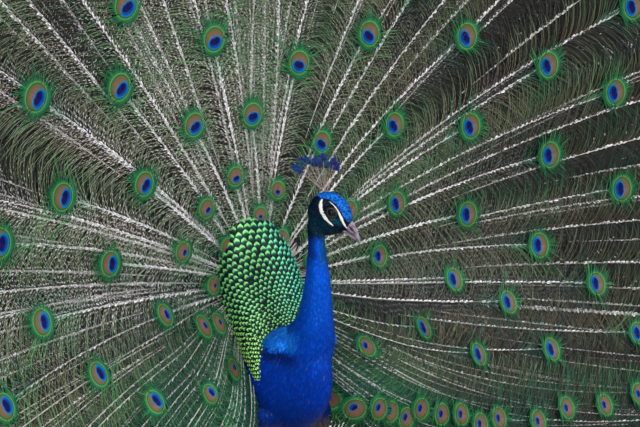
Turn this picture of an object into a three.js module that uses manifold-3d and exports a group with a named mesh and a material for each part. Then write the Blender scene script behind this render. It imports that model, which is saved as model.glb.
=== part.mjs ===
// Indian peafowl cock in full display, standing still, life size, in millimetres.
// +Z is up, the bird heads along -Y and its left side is +X. The soles stand on z = 0.
import * as THREE from "three";
import { mergeVertices } from "three/addons/utils/BufferGeometryUtils.js";
import Module from "manifold-3d";

const wasm = await Module();
wasm.setup();

// ---------------------------------------------------------------- driving dimensions
const Y_SHIFT = 21.25; // moves the whole bird so that the middle of its depth is at y = 0
const GAP = 0.36; // clearance between neighbouring pieces

const TRUNK = {
  // y, middle z, half width, height above the middle, depth below it
  stations: [
    [-114, 352, 6, 8, 8],
    [-109, 352, 19, 34, 36],
    [-93, 351, 31, 56, 60],
    [-64, 350, 48, 73, 84],
    [-28, 348, 66, 79, 98],
    [12, 350, 78, 77, 96],
    [56, 358, 80, 72, 86],
    [96, 371, 71, 63, 70],
    [130, 387, 55, 51, 52],
    [158, 402, 35, 33, 32],
    [174, 410, 9, 9, 9],
  ],
};

const NECK = {
  // x, y, z, half width, half depth, from the breast up to the nape
  lower: [
    [0, -40, 372, 47, 52],
    [0, -66, 402, 41, 45],
    [0, -83, 432, 32, 35],
    [0, -89, 458, 27, 29],
    [0, -92, 486, 23.5, 25.5],
    [0, -93, 508, 20.5, 22.5],
  ],
  upper: [
    [0, -93, 508, 20.5, 22.5],
    [0, -92, 528, 17.8, 19.6],
    [0, -91, 548, 15.2, 16.6],
    [0.3, -89.5, 566, 14.2, 15.4],
    [0.5, -88.5, 584, 14.6, 16],
    [1, -88.5, 600, 13.5, 15],
  ],
};

const HEAD = {
  eyeMiddle: [16, -104, 611], // point midway between the two eyes
  yaw: 45, // turned towards the bird's left, degrees
  pitch: 38, // long axis below level, degrees
  // distance along the axis, top, bottom, half width
  stations: [
    [-36, -2, -12, 5],
    [-33.5, 6, -20, 10.5],
    [-27.5, 13.5, -28, 15],
    [-18, 22.5, -30, 18],
    [-8, 27.2, -28, 19],
    [3, 28.2, -24.5, 19],
    [13, 25.8, -20.5, 17],
    [22, 21.2, -16.5, 14],
    [29, 15.5, -13.8, 11],
    [34, 9.5, -12, 8.5],
  ],
  eyeRadius: 6.8,
  eyeOut: 13.6, // eye centre from the middle plane
};

const BILL = {
  // along, top, bottom, half width
  upper: [
    [27, 12, -7.8, 8],
    [36, 9.8, -8, 6.8],
    [46, 6, -8.2, 5.4],
    [56, 0.8, -8.8, 3.8],
    [62, -4, -10, 2.4],
    [66.5, -9.8, -11.6, 0.9],
  ],
  lower: [
    [25, -8.4, -13.6, 7.4],
    [36, -8.4, -12.8, 6],
    [46, -8.6, -12.3, 4.4],
    [55, -9.2, -12, 2.6],
    [60.5, -10.4, -11.9, 1.2],
  ],
};

const CREST = { base: [-24, 15], half: 42, tilt: 102, shaft: 39, tip: 56, feathers: 11, thick: 1.2 };

const SHIELD = {
  // z, middle y, half width, forward, backward
  stations: [
    [311, -30, 62, 7, 7],
    [325, -25, 72, 14, 15],
    [350, -14, 79, 28, 26],
    [380, 12, 82, 48, 34],
    [408, 40, 80, 66, 28],
    [430, 57, 77, 74, 16],
    [456, 67, 74, 67, 9],
    [492, 72, 70, 55, 6],
    [528, 73, 62, 42, 6],
    [556, 74, 49, 25, 6],
    [571, 74, 32, 12, 5],
    [578, 74, 9, 3, 3],
  ],
};

const FAN = {
  hub: [0, 75, 470],
  inner: 36, // radius at which the plates begin
  lengthTop: 1400,
  lengthSide: 1235,
  bottomDrop: 268, // lowest tips below the hub
  lastAngle: 149,
  curveTop: 3400, // radius of the dish along the upright feathers
  curveSide: 2300, // and along the level ones
  lowPull: 128, // the low feathers come forward past the flanks
  thickInner: 5,
  thickRim: 2,
  columns: 10, // strips across each sector, every other one ends in a tip
  cornerRound: 6, // higher makes the low corners of the fan sharper
  scallopDepth: 26,
  layers: 6,
};

const TRAIN_SECTORS = [
  ["train_right_lower", -149, -104],
  ["train_right_side", -104, -66],
  ["train_right_upper", -66, -22],
  ["train_centre", -22, 22],
  ["train_left_upper", 22, 66],
  ["train_left_side", 66, 104],
  ["train_left_lower", 104, 149],
];

const TAIL = { inner: 40, length: 430, half: 92, behind: 34, thick: 2.4, feathers: 20, notch: 22 };
const VENT = { middle: [0, 124, 322], half: [50, 47, 64] };

const WING = {
  // x, y, z, half thickness, half height
  stations: [
    [86, 44, 366, 5, 20],
    [93, 62, 352, 8, 48],
    [100, 96, 334, 8, 62],
    [107, 134, 306, 7, 58],
    [113, 168, 276, 5.5, 44],
    [118, 198, 246, 4, 28],
    [122, 224, 218, 2, 8],
  ],
};

const LEG = {
  thigh: [
    [44, -4, 296, 34, 44],
    [47, 2, 262, 31, 38],
    [50, 12, 224, 22, 27],
    [52, 22, 188, 13.5, 15.5],
    [53, 29, 162, 8.6, 9.4],
    [53, 31, 154, 6.5, 7.2],
  ],
  shank: [
    [53, 31, 158, 6, 7.4],
    [53, 30, 148, 7.4, 8.8],
    [53, 27, 136, 6, 7],
    [53.5, 19, 98, 5, 6],
    [54, 9, 52, 5.2, 6.2],
    [54, 2, 22, 6.6, 7.6],
    [54, 0, 12, 6, 7],
  ],
  spur: { from: [51, 16, 76], to: [35, 27, 82], radius: 4.4 },
  foot: [54, -2],
  // heading from straight ahead (outwards positive), length, half width at the root
  toes: [
    [2, 76, 6.2],
    [-27, 56, 5.6],
    [30, 60, 5.6],
    [172, 26, 4.4],
  ],
  claw: 15,
};

// ---------------------------------------------------------------- helpers
const rad = (deg) => (deg * Math.PI) / 180;
const clamp01 = (t) => Math.min(1, Math.max(0, t));
const smooth = (t) => clamp01(t) ** 2 * (3 - 2 * clamp01(t));

/** Catmull-Rom value of a row of numbers at t in 0..1 along the list. */
function along(rows, t) {
  const n = rows.length - 1;
  const i = Math.min(n - 1, Math.floor(t * n));
  const u = t * n - i;
  const row = (k) => rows[Math.min(n, Math.max(0, k))];
  return rows[0].map((_, c) => {
    const [a, b, d, e] = [row(i - 1)[c], row(i)[c], row(i + 1)[c], row(i + 2)[c]];
    const bend = 2 * a - 5 * b + 4 * d - e;
    const twist = 3 * b - a - 3 * d + e;
    return (2 * b + (d - a) * u + bend * u * u + twist * u ** 3) / 2;
  });
}

/** Turns a mapped three.js geometry into a manifold solid facing outwards. */
function solid(geometry) {
  const bare = geometry.clone();
  bare.deleteAttribute("normal");
  bare.deleteAttribute("uv");
  const merged = mergeVertices(bare, 1e-4);
  const points = merged.attributes.position;
  const index = Array.from(merged.index.array);
  const kept = [];
  let volume = 0;
  const p = [new THREE.Vector3(), new THREE.Vector3(), new THREE.Vector3()];
  for (let i = 0; i < index.length; i += 3) {
    const tri = index.slice(i, i + 3);
    if (new Set(tri).size < 3) continue;
    p.forEach((v, k) => v.fromBufferAttribute(points, tri[k]));
    volume += p[0].dot(p[1].clone().cross(p[2]));
    kept.push(tri);
  }
  const triVerts = new Uint32Array((volume < 0 ? kept.map(([a, b, c]) => [a, c, b]) : kept).flat());
  const vertProperties = Float32Array.from(points.array);
  return new wasm.Manifold(new wasm.Mesh({ numProp: 3, vertProperties, triVerts }));
}

/** Moves every vertex of a geometry with a function of its place. */
function mapped(geometry, move) {
  const points = geometry.attributes.position;
  const v = new THREE.Vector3();
  for (let i = 0; i < points.count; i += 1) {
    v.fromBufferAttribute(points, i);
    move(v);
    points.setXYZ(i, v.x, v.y, v.z);
  }
  return geometry;
}

/** A box in strips whose front and back are split along the same diagonals, for thin curved plates. */
function plateBlank(across, up) {
  const box = new THREE.BoxGeometry(1, 1, 1, across, up, 1);
  const index = Array.from(box.index.array);
  const back = box.groups[5];
  for (let i = back.start; i < back.start + back.count; i += 6) {
    const [a, b, d, , c] = index.slice(i, i + 6);
    index.splice(i, 6, a, b, c, a, c, d);
  }
  box.setIndex(index);
  return box;
}

/** A closed loft: at(t) gives its centre, side and up vectors and four half sizes. */
function loft(at, around, steps, grow = 0) {
  const tube = new THREE.CylinderGeometry(1, 1, 1, around, steps, false);
  return mapped(tube, (v) => {
    const t = clamp01(0.5 - v.y);
    const s = at(t);
    const r = Math.hypot(v.x, v.z);
    const [cx, cz] = r > 1e-6 ? [v.x / r, v.z / r] : [0, 0];
    const wide = s.wide + grow;
    const high = (cz > 0 ? s.up : s.down) + grow;
    const end = t < 1e-6 ? -grow : t > 1 - 1e-6 ? grow : 0;
    v.copy(s.centre)
      .addScaledVector(s.side, cx * wide * r)
      .addScaledVector(s.top, cz * high * r)
      .addScaledVector(s.axis, end);
  });
}

/** Loft whose sections stay square to a path of [x, y, z, half width, half depth]. */
function limb(rows, around, steps, grow = 0, sideways = new THREE.Vector3(1, 0, 0)) {
  const at = (t) => {
    const [x, y, z, wide, deep] = along(rows, t);
    const before = new THREE.Vector3(...along(rows, clamp01(t - 0.02)).slice(0, 3));
    const axis = new THREE.Vector3(...along(rows, clamp01(t + 0.02)).slice(0, 3)).sub(before).normalize();
    const top = new THREE.Vector3().crossVectors(axis, sideways).normalize();
    const side = new THREE.Vector3().crossVectors(top, axis).normalize();
    return { centre: new THREE.Vector3(x, y, z), axis, side, top, wide, up: deep, down: deep };
  };
  return solid(loft(at, around, steps, grow));
}

/** Loft along a straight axis in a local frame, rows of [distance, top, bottom, half width]. */
function profile(rows, frame, around, steps, grow = 0) {
  const at = (t) => {
    const [d, top, bottom, wide] = along(rows, t);
    const middle = (top + bottom) / 2;
    const half = (top - bottom) / 2;
    const centre = frame.origin.clone().addScaledVector(frame.ahead, d).addScaledVector(frame.up, middle);
    return { centre, axis: frame.ahead, side: frame.side, top: frame.up, wide, up: half, down: half };
  };
  return solid(loft(at, around, steps, grow));
}

const largest = (body) => {
  const parts = body.decompose();
  return parts.reduce((a, b) => (b.volume() > a.volume() ? b : a));
};

const ball = (centre, half, grow = 0, around = 14, rows = 8) => {
  const sphere = new THREE.SphereGeometry(1, around, rows);
  return solid(
    mapped(sphere, (v) => {
      const [x, y, z] = [v.x, v.z, v.y];
      const [a, b, c] = half.map((h) => h + grow);
      v.set(centre[0] + x * a, centre[1] + y * b, centre[2] + z * c);
    }),
  );
};

/** A box from its lowest to its highest corner. */
function block(low, high) {
  const size = high.map((h, i) => h - low[i]);
  const box = new THREE.BoxGeometry(size[0], size[1], size[2]);
  box.translate(low[0] + size[0] / 2, low[1] + size[1] / 2, low[2] + size[2] / 2);
  return solid(box);
}

const mirror = (rows) => rows.map(([x, ...rest]) => [-x, ...rest]);

// ---------------------------------------------------------------- head, bill, eyes, crest
const yaw = rad(HEAD.yaw);
const pitch = rad(HEAD.pitch);
const headFrame = {
  origin: new THREE.Vector3(...HEAD.eyeMiddle),
  ahead: new THREE.Vector3(Math.sin(yaw), -Math.cos(yaw), -Math.tan(pitch)).normalize(),
  up: new THREE.Vector3(Math.sin(yaw) * Math.sin(pitch), -Math.cos(yaw) * Math.sin(pitch), Math.cos(pitch)),
  side: new THREE.Vector3(Math.cos(yaw), Math.sin(yaw), 0), // towards the bird's left
};

const headSolid = (grow = 0) => profile(HEAD.stations, headFrame, 18, 9, grow);
const eyeCentre = (sign) => headFrame.origin.clone().addScaledVector(headFrame.side, sign * HEAD.eyeOut);
const eyeSolid = (sign, grow = 0) => {
  const c = eyeCentre(sign);
  return ball([c.x, c.y, c.z], [HEAD.eyeRadius, HEAD.eyeRadius, HEAD.eyeRadius], grow, 11, 7);
};
const billSolid = (rows, grow = 0) => profile(rows, headFrame, 12, 6, grow);

/** The crest as a thin upright plate: a fan of shafts closed by a row of rounded tips. */
function crestSolid() {
  const shape = new THREE.Shape();
  const steps = 44;
  const polar = (angle, radius) => {
    const a = rad(CREST.tilt + angle);
    return [Math.cos(a) * radius, Math.sin(a) * radius];
  };
  shape.moveTo(...polar(-CREST.half * 0.3, 3));
  for (let i = 0; i <= steps; i += 1) {
    const f = i / steps;
    const lobe = Math.abs(Math.sin(f * CREST.feathers * Math.PI));
    const radius = CREST.shaft + (CREST.tip - CREST.shaft) * (0.5 + 0.5 * lobe);
    shape.lineTo(...polar(CREST.half * (2 * f - 1), radius));
  }
  shape.lineTo(...polar(CREST.half * 0.3, 3));
  const plate = new THREE.ExtrudeGeometry(shape, { depth: CREST.thick, bevelEnabled: false });
  const root = headFrame.origin
    .clone()
    .addScaledVector(headFrame.ahead, CREST.base[0])
    .addScaledVector(headFrame.up, CREST.base[1]);
  const level = new THREE.Vector3(Math.sin(yaw), -Math.cos(yaw), 0);
  return solid(
    mapped(plate, (v) => {
      const [u, w, d] = [v.x, v.y, v.z - CREST.thick / 2];
      v.copy(root).addScaledVector(level, u).addScaledVector(headFrame.side, d);
      v.z += w;
    }),
  );
}

// ---------------------------------------------------------------- neck, trunk, shield
const neckLower = (grow = 0) => limb(NECK.lower, 16, 6, grow);
const neckUpper = (grow = 0) => limb(NECK.upper, 16, 6, grow);

function trunkSolid(grow = 0) {
  const at = (t) => {
    const [y, z, wide, up, down] = along(TRUNK.stations, t);
    return {
      centre: new THREE.Vector3(0, y, z),
      axis: new THREE.Vector3(0, 1, 0),
      side: new THREE.Vector3(1, 0, 0),
      top: new THREE.Vector3(0, 0, 1),
      wide,
      up,
      down,
    };
  };
  return solid(loft(at, 18, 12, grow));
}

function shieldSolid(grow = 0) {
  const at = (t) => {
    const [z, y, wide, front, back] = along(SHIELD.stations, t);
    return {
      centre: new THREE.Vector3(0, y, z),
      axis: new THREE.Vector3(0, 0, 1),
      side: new THREE.Vector3(1, 0, 0),
      top: new THREE.Vector3(0, -1, 0),
      wide,
      up: front,
      down: back,
    };
  };
  return solid(loft(at, 20, 12, grow));
}

// ---------------------------------------------------------------- the train and the tail
/** Length of the train at an angle from upright, out to the tips. */
function reach(angle) {
  const a = Math.abs(angle);
  const free = FAN.lengthTop + (FAN.lengthSide - FAN.lengthTop) * smooth((a - 35) / 65);
  const c = Math.cos(rad(a));
  if (c > -0.02) return free;
  const level = FAN.bottomDrop / -c;
  const n = FAN.cornerRound;
  return (free ** -n + level ** -n) ** (-1 / n);
}

/** How far forward of the hub the dish lies at an angle and radius. */
function forward(angle, radius) {
  const a = Math.abs(angle);
  const curve = FAN.curveTop + (FAN.curveSide - FAN.curveTop) * smooth(a / 100);
  const low = FAN.lowPull * smooth((a - 82) / 50) * (radius / (radius + 60));
  return (radius * radius) / (2 * curve) + low;
}

/** Point of the dish, moved back by a depth. */
function dish(angle, radius, back) {
  const a = rad(angle);
  return new THREE.Vector3(
    FAN.hub[0] + Math.sin(a) * radius,
    FAN.hub[1] - forward(angle, radius) + back,
    FAN.hub[2] + Math.cos(a) * radius,
  );
}

/** One sector of the dish between two angles with the feather tips cut along its rim. */
function sectorSolid(from, to, grow = 0) {
  const plate = plateBlank(FAN.columns, FAN.layers);
  return solid(
    mapped(plate, (v) => {
      const f = v.x + 0.5;
      const outer = reach(from + (to - from) * f);
      const tips = Math.round(f * FAN.columns) % 2;
      const rim = outer - FAN.scallopDepth * (1 - tips) + grow;
      const radius = FAN.inner - grow + (rim - FAN.inner + grow) * (v.y + 0.5) ** 1.25;
      const inset = (Math.asin(Math.min(0.5, (GAP / 2 - grow) / radius)) * 180) / Math.PI;
      const angle = from + inset + (to - from - 2 * inset) * f;
      const thick = FAN.thickInner + (FAN.thickRim - FAN.thickInner) * clamp01(radius / 700) + 2 * grow;
      v.copy(dish(angle, radius, v.z * thick));
    }),
  );
}

/** The short stiff tail standing up behind the train. */
function tailSolid(grow = 0) {
  const plate = plateBlank(40, 2);
  return solid(
    mapped(plate, (v) => {
      const f = v.x + 0.5;
      const tips = Math.abs(Math.sin(f * Math.PI * TAIL.feathers));
      const rim = TAIL.length - TAIL.notch * (1 - tips) + grow;
      const radius = TAIL.inner - grow + (rim - TAIL.inner + grow) * (v.y + 0.5);
      const angle = TAIL.half * 2 * (f - 0.5);
      v.copy(dish(angle, radius, TAIL.behind + v.z * (TAIL.thick + 2 * grow)));
    }),
  );
}

// ---------------------------------------------------------------- wings and legs
function wingSolid(sign, grow = 0) {
  const rows = sign > 0 ? WING.stations : mirror(WING.stations);
  return limb(rows, 14, 8, grow);
}

const thighSolid = (sign, grow = 0) => limb(sign > 0 ? LEG.thigh : mirror(LEG.thigh), 14, 7, grow);

function shankSolid(sign, grow = 0) {
  const bone = limb(sign > 0 ? LEG.shank : mirror(LEG.shank), 8, 7, grow);
  const { from, to, radius } = LEG.spur;
  const rows = [0, 0.3, 0.65, 1].map((t) => [
    sign * (from[0] + (to[0] - from[0]) * t),
    from[1] + (to[1] - from[1]) * t,
    from[2] + (to[2] - from[2]) * t ** 1.6,
    radius * (1 - t) ** 0.75 + 0.5,
    radius * (1 - t) ** 0.75 + 0.5,
  ]);
  return bone.add(limb(rows, 6, 3, grow, new THREE.Vector3(0, 0, 1)));
}

/** One foot: three toes ahead, one behind, each with a claw, cut flat along the soles. */
function footSolid(sign) {
  let whole = ball([sign * LEG.foot[0], LEG.foot[1], 8], [8.6, 9.5, 9], 0, 8, 5);
  for (const [heading, length, wide] of LEG.toes) {
    const a = rad(heading);
    const out = [Math.sin(a) * sign, -Math.cos(a)];
    const point = (d, z, w, h) => [sign * LEG.foot[0] + out[0] * d, LEG.foot[1] + out[1] * d, z, w, h];
    const toe = [
      point(0, 7, wide, 7),
      point(length * 0.28, 5.2, wide * 0.92, 6.2),
      point(length * 0.58, 4.2, wide * 0.88, 5.2),
      point(length * 0.84, 3.4, wide * 0.84, 4.4),
      point(length, 4.4, 2.9, 3.4),
      point(length + LEG.claw * 0.55, 4, 1.7, 2.1),
      point(length + LEG.claw, 1.7, 0.5, 0.6),
    ];
    const across = new THREE.Vector3(-out[1], out[0], 0);
    whole = whole.add(limb(toe, 6, 6, 0, across));
  }
  return whole.subtract(block([-400, -400, -60], [400, 400, 0]));
}

// ---------------------------------------------------------------- the pieces, cut clear of their neighbours
const group = new THREE.Group();

/** Adds one named piece made of a solid. */
function piece(name, body, colour, roughness = 0.7, metalness = 0) {
  const mesh = body.getMesh();
  const geometry = new THREE.BufferGeometry();
  const points = new Float32Array(mesh.numVert * 3);
  for (let i = 0; i < mesh.numVert; i += 1) {
    points[3 * i] = mesh.vertProperties[mesh.numProp * i];
    points[3 * i + 1] = mesh.vertProperties[mesh.numProp * i + 1] + Y_SHIFT;
    points[3 * i + 2] = mesh.vertProperties[mesh.numProp * i + 2];
  }
  geometry.setAttribute("position", new THREE.BufferAttribute(points, 3));
  geometry.setIndex(Array.from(mesh.triVerts));
  geometry.computeVertexNormals();
  const finish = new THREE.MeshStandardMaterial({ color: colour, roughness, metalness });
  const node = new THREE.Mesh(geometry, finish);
  node.name = name;
  group.add(node);
}

const g = GAP;
const eyeL = eyeSolid(1);
const eyeR = eyeSolid(-1);
const headBody = largest(headSolid().subtract(eyeSolid(1, g)).subtract(eyeSolid(-1, g)));
piece("head", headBody, 0x2f6fc4);
piece("eye_left", eyeL, 0x2a1a10, 0.15);
piece("eye_right", eyeR, 0x2a1a10, 0.15);
const upperBill = largest(billSolid(BILL.upper).subtract(headSolid(g)));
piece("bill_upper", upperBill, 0xa89c94, 0.4);
const lowerBill = largest(billSolid(BILL.lower).subtract(headSolid(g)).subtract(billSolid(BILL.upper, g)));
piece("bill_lower", lowerBill, 0x9a8f88, 0.4);
piece("crest", largest(crestSolid().subtract(headSolid(g))), 0x1f5f9c);

piece("neck_upper", largest(neckUpper().subtract(headSolid(g)).subtract(billSolid(BILL.lower, g))), 0x0f4fc0);
const lowerNeck = largest(neckLower().subtract(neckUpper(g)));
piece("neck_lower", lowerNeck, 0x0d46b8);
const trunkBody = largest(trunkSolid().subtract(neckLower(g)));
piece("trunk", trunkBody, 0x08357f);
const neckBlank = neckLower(g).add(neckUpper(g));
const shieldBody = largest(shieldSolid().subtract(trunkSolid(g)).subtract(neckBlank));
piece("back_shield", shieldBody, 0x2f7d4f);

const front = trunkSolid(g).add(shieldSolid(g));
for (const [name, from, to] of TRAIN_SECTORS) {
  piece(name, largest(sectorSolid(from, to).subtract(front)), 0x5a6b3c);
}
piece("tail", largest(tailSolid().subtract(front)), 0x6b5540);

for (const [sign, side] of [
  [1, "left"],
  [-1, "right"],
]) {
  const low = sign > 0 ? TRAIN_SECTORS[6] : TRAIN_SECTORS[0];
  const level = sign > 0 ? TRAIN_SECTORS[5] : TRAIN_SECTORS[1];
  const train = sectorSolid(low[1], low[2], g).add(sectorSolid(level[1], level[2], g)).add(tailSolid(g));
  const wing = wingSolid(sign).subtract(front).subtract(train);
  piece(`wing_${side}`, largest(wing), 0x8a5a34);
  const thigh = thighSolid(sign).subtract(front).subtract(wingSolid(sign, g)).subtract(train);
  piece(`thigh_${side}`, largest(thigh), 0x8f7b5c);
  const shank = shankSolid(sign).subtract(thighSolid(sign, g));
  piece(`shank_${side}`, largest(shank), 0x8d8378);
  piece(`foot_${side}`, largest(footSolid(sign).subtract(shankSolid(sign, g))), 0x857b70);
}

const ventBody = ball(VENT.middle, VENT.half)
  .subtract(front)
  .subtract(wingSolid(1, g))
  .subtract(wingSolid(-1, g))
  .subtract(tailSolid(g));
piece("vent", largest(ventBody), 0x3c3226);

export default group;
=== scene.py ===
"""Indian peafowl cock standing still in full display, life size.

Sizes in the tables are in millimetres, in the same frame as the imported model: +Z up, the bird heads
along -Y and its left side is +X. A mesh becomes metres when it is made.
"""

import logging
import math
from collections.abc import Callable, Sequence
from dataclasses import dataclass, field
from enum import Enum

import bmesh
import bpy
import numpy as np
from mathutils import Matrix, Vector
from mathutils.bvhtree import BVHTree
from mathutils.kdtree import KDTree


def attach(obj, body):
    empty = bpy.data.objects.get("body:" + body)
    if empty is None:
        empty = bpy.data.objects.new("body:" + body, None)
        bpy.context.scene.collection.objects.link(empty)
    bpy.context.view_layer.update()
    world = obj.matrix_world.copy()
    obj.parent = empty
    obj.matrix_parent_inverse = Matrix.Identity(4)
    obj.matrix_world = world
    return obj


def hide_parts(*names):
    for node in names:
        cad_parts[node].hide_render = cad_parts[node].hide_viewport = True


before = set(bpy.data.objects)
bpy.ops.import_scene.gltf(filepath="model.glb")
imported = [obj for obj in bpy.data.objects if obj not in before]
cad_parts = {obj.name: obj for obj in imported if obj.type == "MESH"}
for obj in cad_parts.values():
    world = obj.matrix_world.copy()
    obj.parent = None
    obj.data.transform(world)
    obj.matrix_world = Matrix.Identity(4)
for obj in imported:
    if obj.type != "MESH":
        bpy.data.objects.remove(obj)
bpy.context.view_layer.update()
LOG = logging.getLogger("peafowl")
MM = 0.001
SHIFT = np.array([0.0, 21.25, 0.0])
Array = np.ndarray
Colour = tuple[float, float, float]


# ---------------------------------------------------------------- numbers and curves
def rgb(red: int, green: int, blue: int) -> Colour:
    """A screen colour of 0 to 255 as the linear numbers that a shader reads."""
    return tuple(c / 3294.6 if c <= 10 else ((c / 255 + 0.055) / 1.055) ** 2.4 for c in (red, green, blue))


def blend(a: Array | Colour, b: Array | Colour, share: Array) -> Array:
    """Rows that go from a to b as the share of each row goes from 0 to 1."""
    return np.asarray(a) + (np.asarray(b) - np.asarray(a)) * np.asarray(share)[..., None]


def smooth(t: Array | float) -> Array | float:
    """Smooth step of t from 0 to 1."""
    t = np.clip(t, 0.0, 1.0)
    return t * t * (3.0 - 2.0 * t)


def unit(v: Array) -> Array:
    """Rows of v at length one."""
    return v / np.maximum(np.linalg.norm(v, axis=-1, keepdims=True), 1e-9)


def along(rows: Sequence[Sequence[float]], t: Array | float) -> Array:
    """Catmull-Rom value of a table at t in 0..1.

    Args:
        rows: the table, one row of numbers for each station.
        t: where to read it, a number or an array.

    Returns:
        The interpolated rows, with the shape of t and one more axis.
    """
    table = np.asarray(rows, float)
    last = len(table) - 1
    place = np.clip(np.asarray(t, float), 0.0, 1.0) * last
    i = np.clip(np.floor(place).astype(int), 0, last - 1)
    u = (place - i)[..., None]
    a, b = table[np.clip(i - 1, 0, last)], table[i]
    c, d = table[i + 1], table[np.clip(i + 2, 0, last)]
    return 0.5 * (2 * b + (c - a) * u + (2 * a - 5 * b + 4 * c - d) * u**2 + (3 * b - a - 3 * c + d) * u**3)


# ---------------------------------------------------------------- shader arithmetic
class Value:
    """A number in a node tree that takes part in Python arithmetic."""

    def __init__(self, finish: "Finish", socket: bpy.types.NodeSocket) -> None:
        """Wraps an output socket of the finish's node tree."""
        self.finish = finish
        self.socket = socket

    def math(self, operation: str, a: "Value | float", b: "Value | float", clamp: bool = False) -> "Value":
        """Adds one Math node and returns its result."""
        node = self.finish.node("ShaderNodeMath", {"operation": operation, "use_clamp": clamp}, {0: a, 1: b})
        return Value(self.finish, node.outputs[0])

    def __add__(self, other: "Value | float") -> "Value":
        """Sum."""
        return self.math("ADD", self, other)

    def __radd__(self, other: "Value | float") -> "Value":
        """Sum with the number on the left."""
        return self.math("ADD", other, self)

    def __sub__(self, other: "Value | float") -> "Value":
        """Difference."""
        return self.math("SUBTRACT", self, other)

    def __rsub__(self, other: "Value | float") -> "Value":
        """Difference from a number on the left."""
        return self.math("SUBTRACT", other, self)

    def __mul__(self, other: "Value | float") -> "Value":
        """Product."""
        return self.math("MULTIPLY", self, other)

    def __rmul__(self, other: "Value | float") -> "Value":
        """Product with the number on the left."""
        return self.math("MULTIPLY", other, self)

    def __truediv__(self, other: "Value | float") -> "Value":
        """Quotient."""
        return self.math("DIVIDE", self, other)

    def __pow__(self, other: "Value | float") -> "Value":
        """Power."""
        return self.math("POWER", self, other)

    def root(self) -> "Value":
        """Square root."""
        return self.math("SQRT", self, 0.0)

    def wave(self) -> "Value":
        """Sine."""
        return self.math("SINE", self, 0.0)

    def absolute(self) -> "Value":
        """Size without the sign."""
        return self.math("ABSOLUTE", self, 0.0)

    def most(self, other: "Value | float") -> "Value":
        """The larger of two numbers."""
        return self.math("MAXIMUM", self, other)

    def least(self, other: "Value | float") -> "Value":
        """The smaller of two numbers."""
        return self.math("MINIMUM", self, other)

    def step(self, low: float, high: float) -> "Value":
        """Smooth step of the number from low to high, which may be in either order."""
        node = self.finish.node(
            "ShaderNodeMapRange",
            {"interpolation_type": "SMOOTHSTEP"},
            {0: self, 1: min(low, high), 2: max(low, high), 3: 0.0 if low < high else 1.0, 4: 1.0 if low < high else 0.0},
        )
        return Value(self.finish, node.outputs[0])


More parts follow.
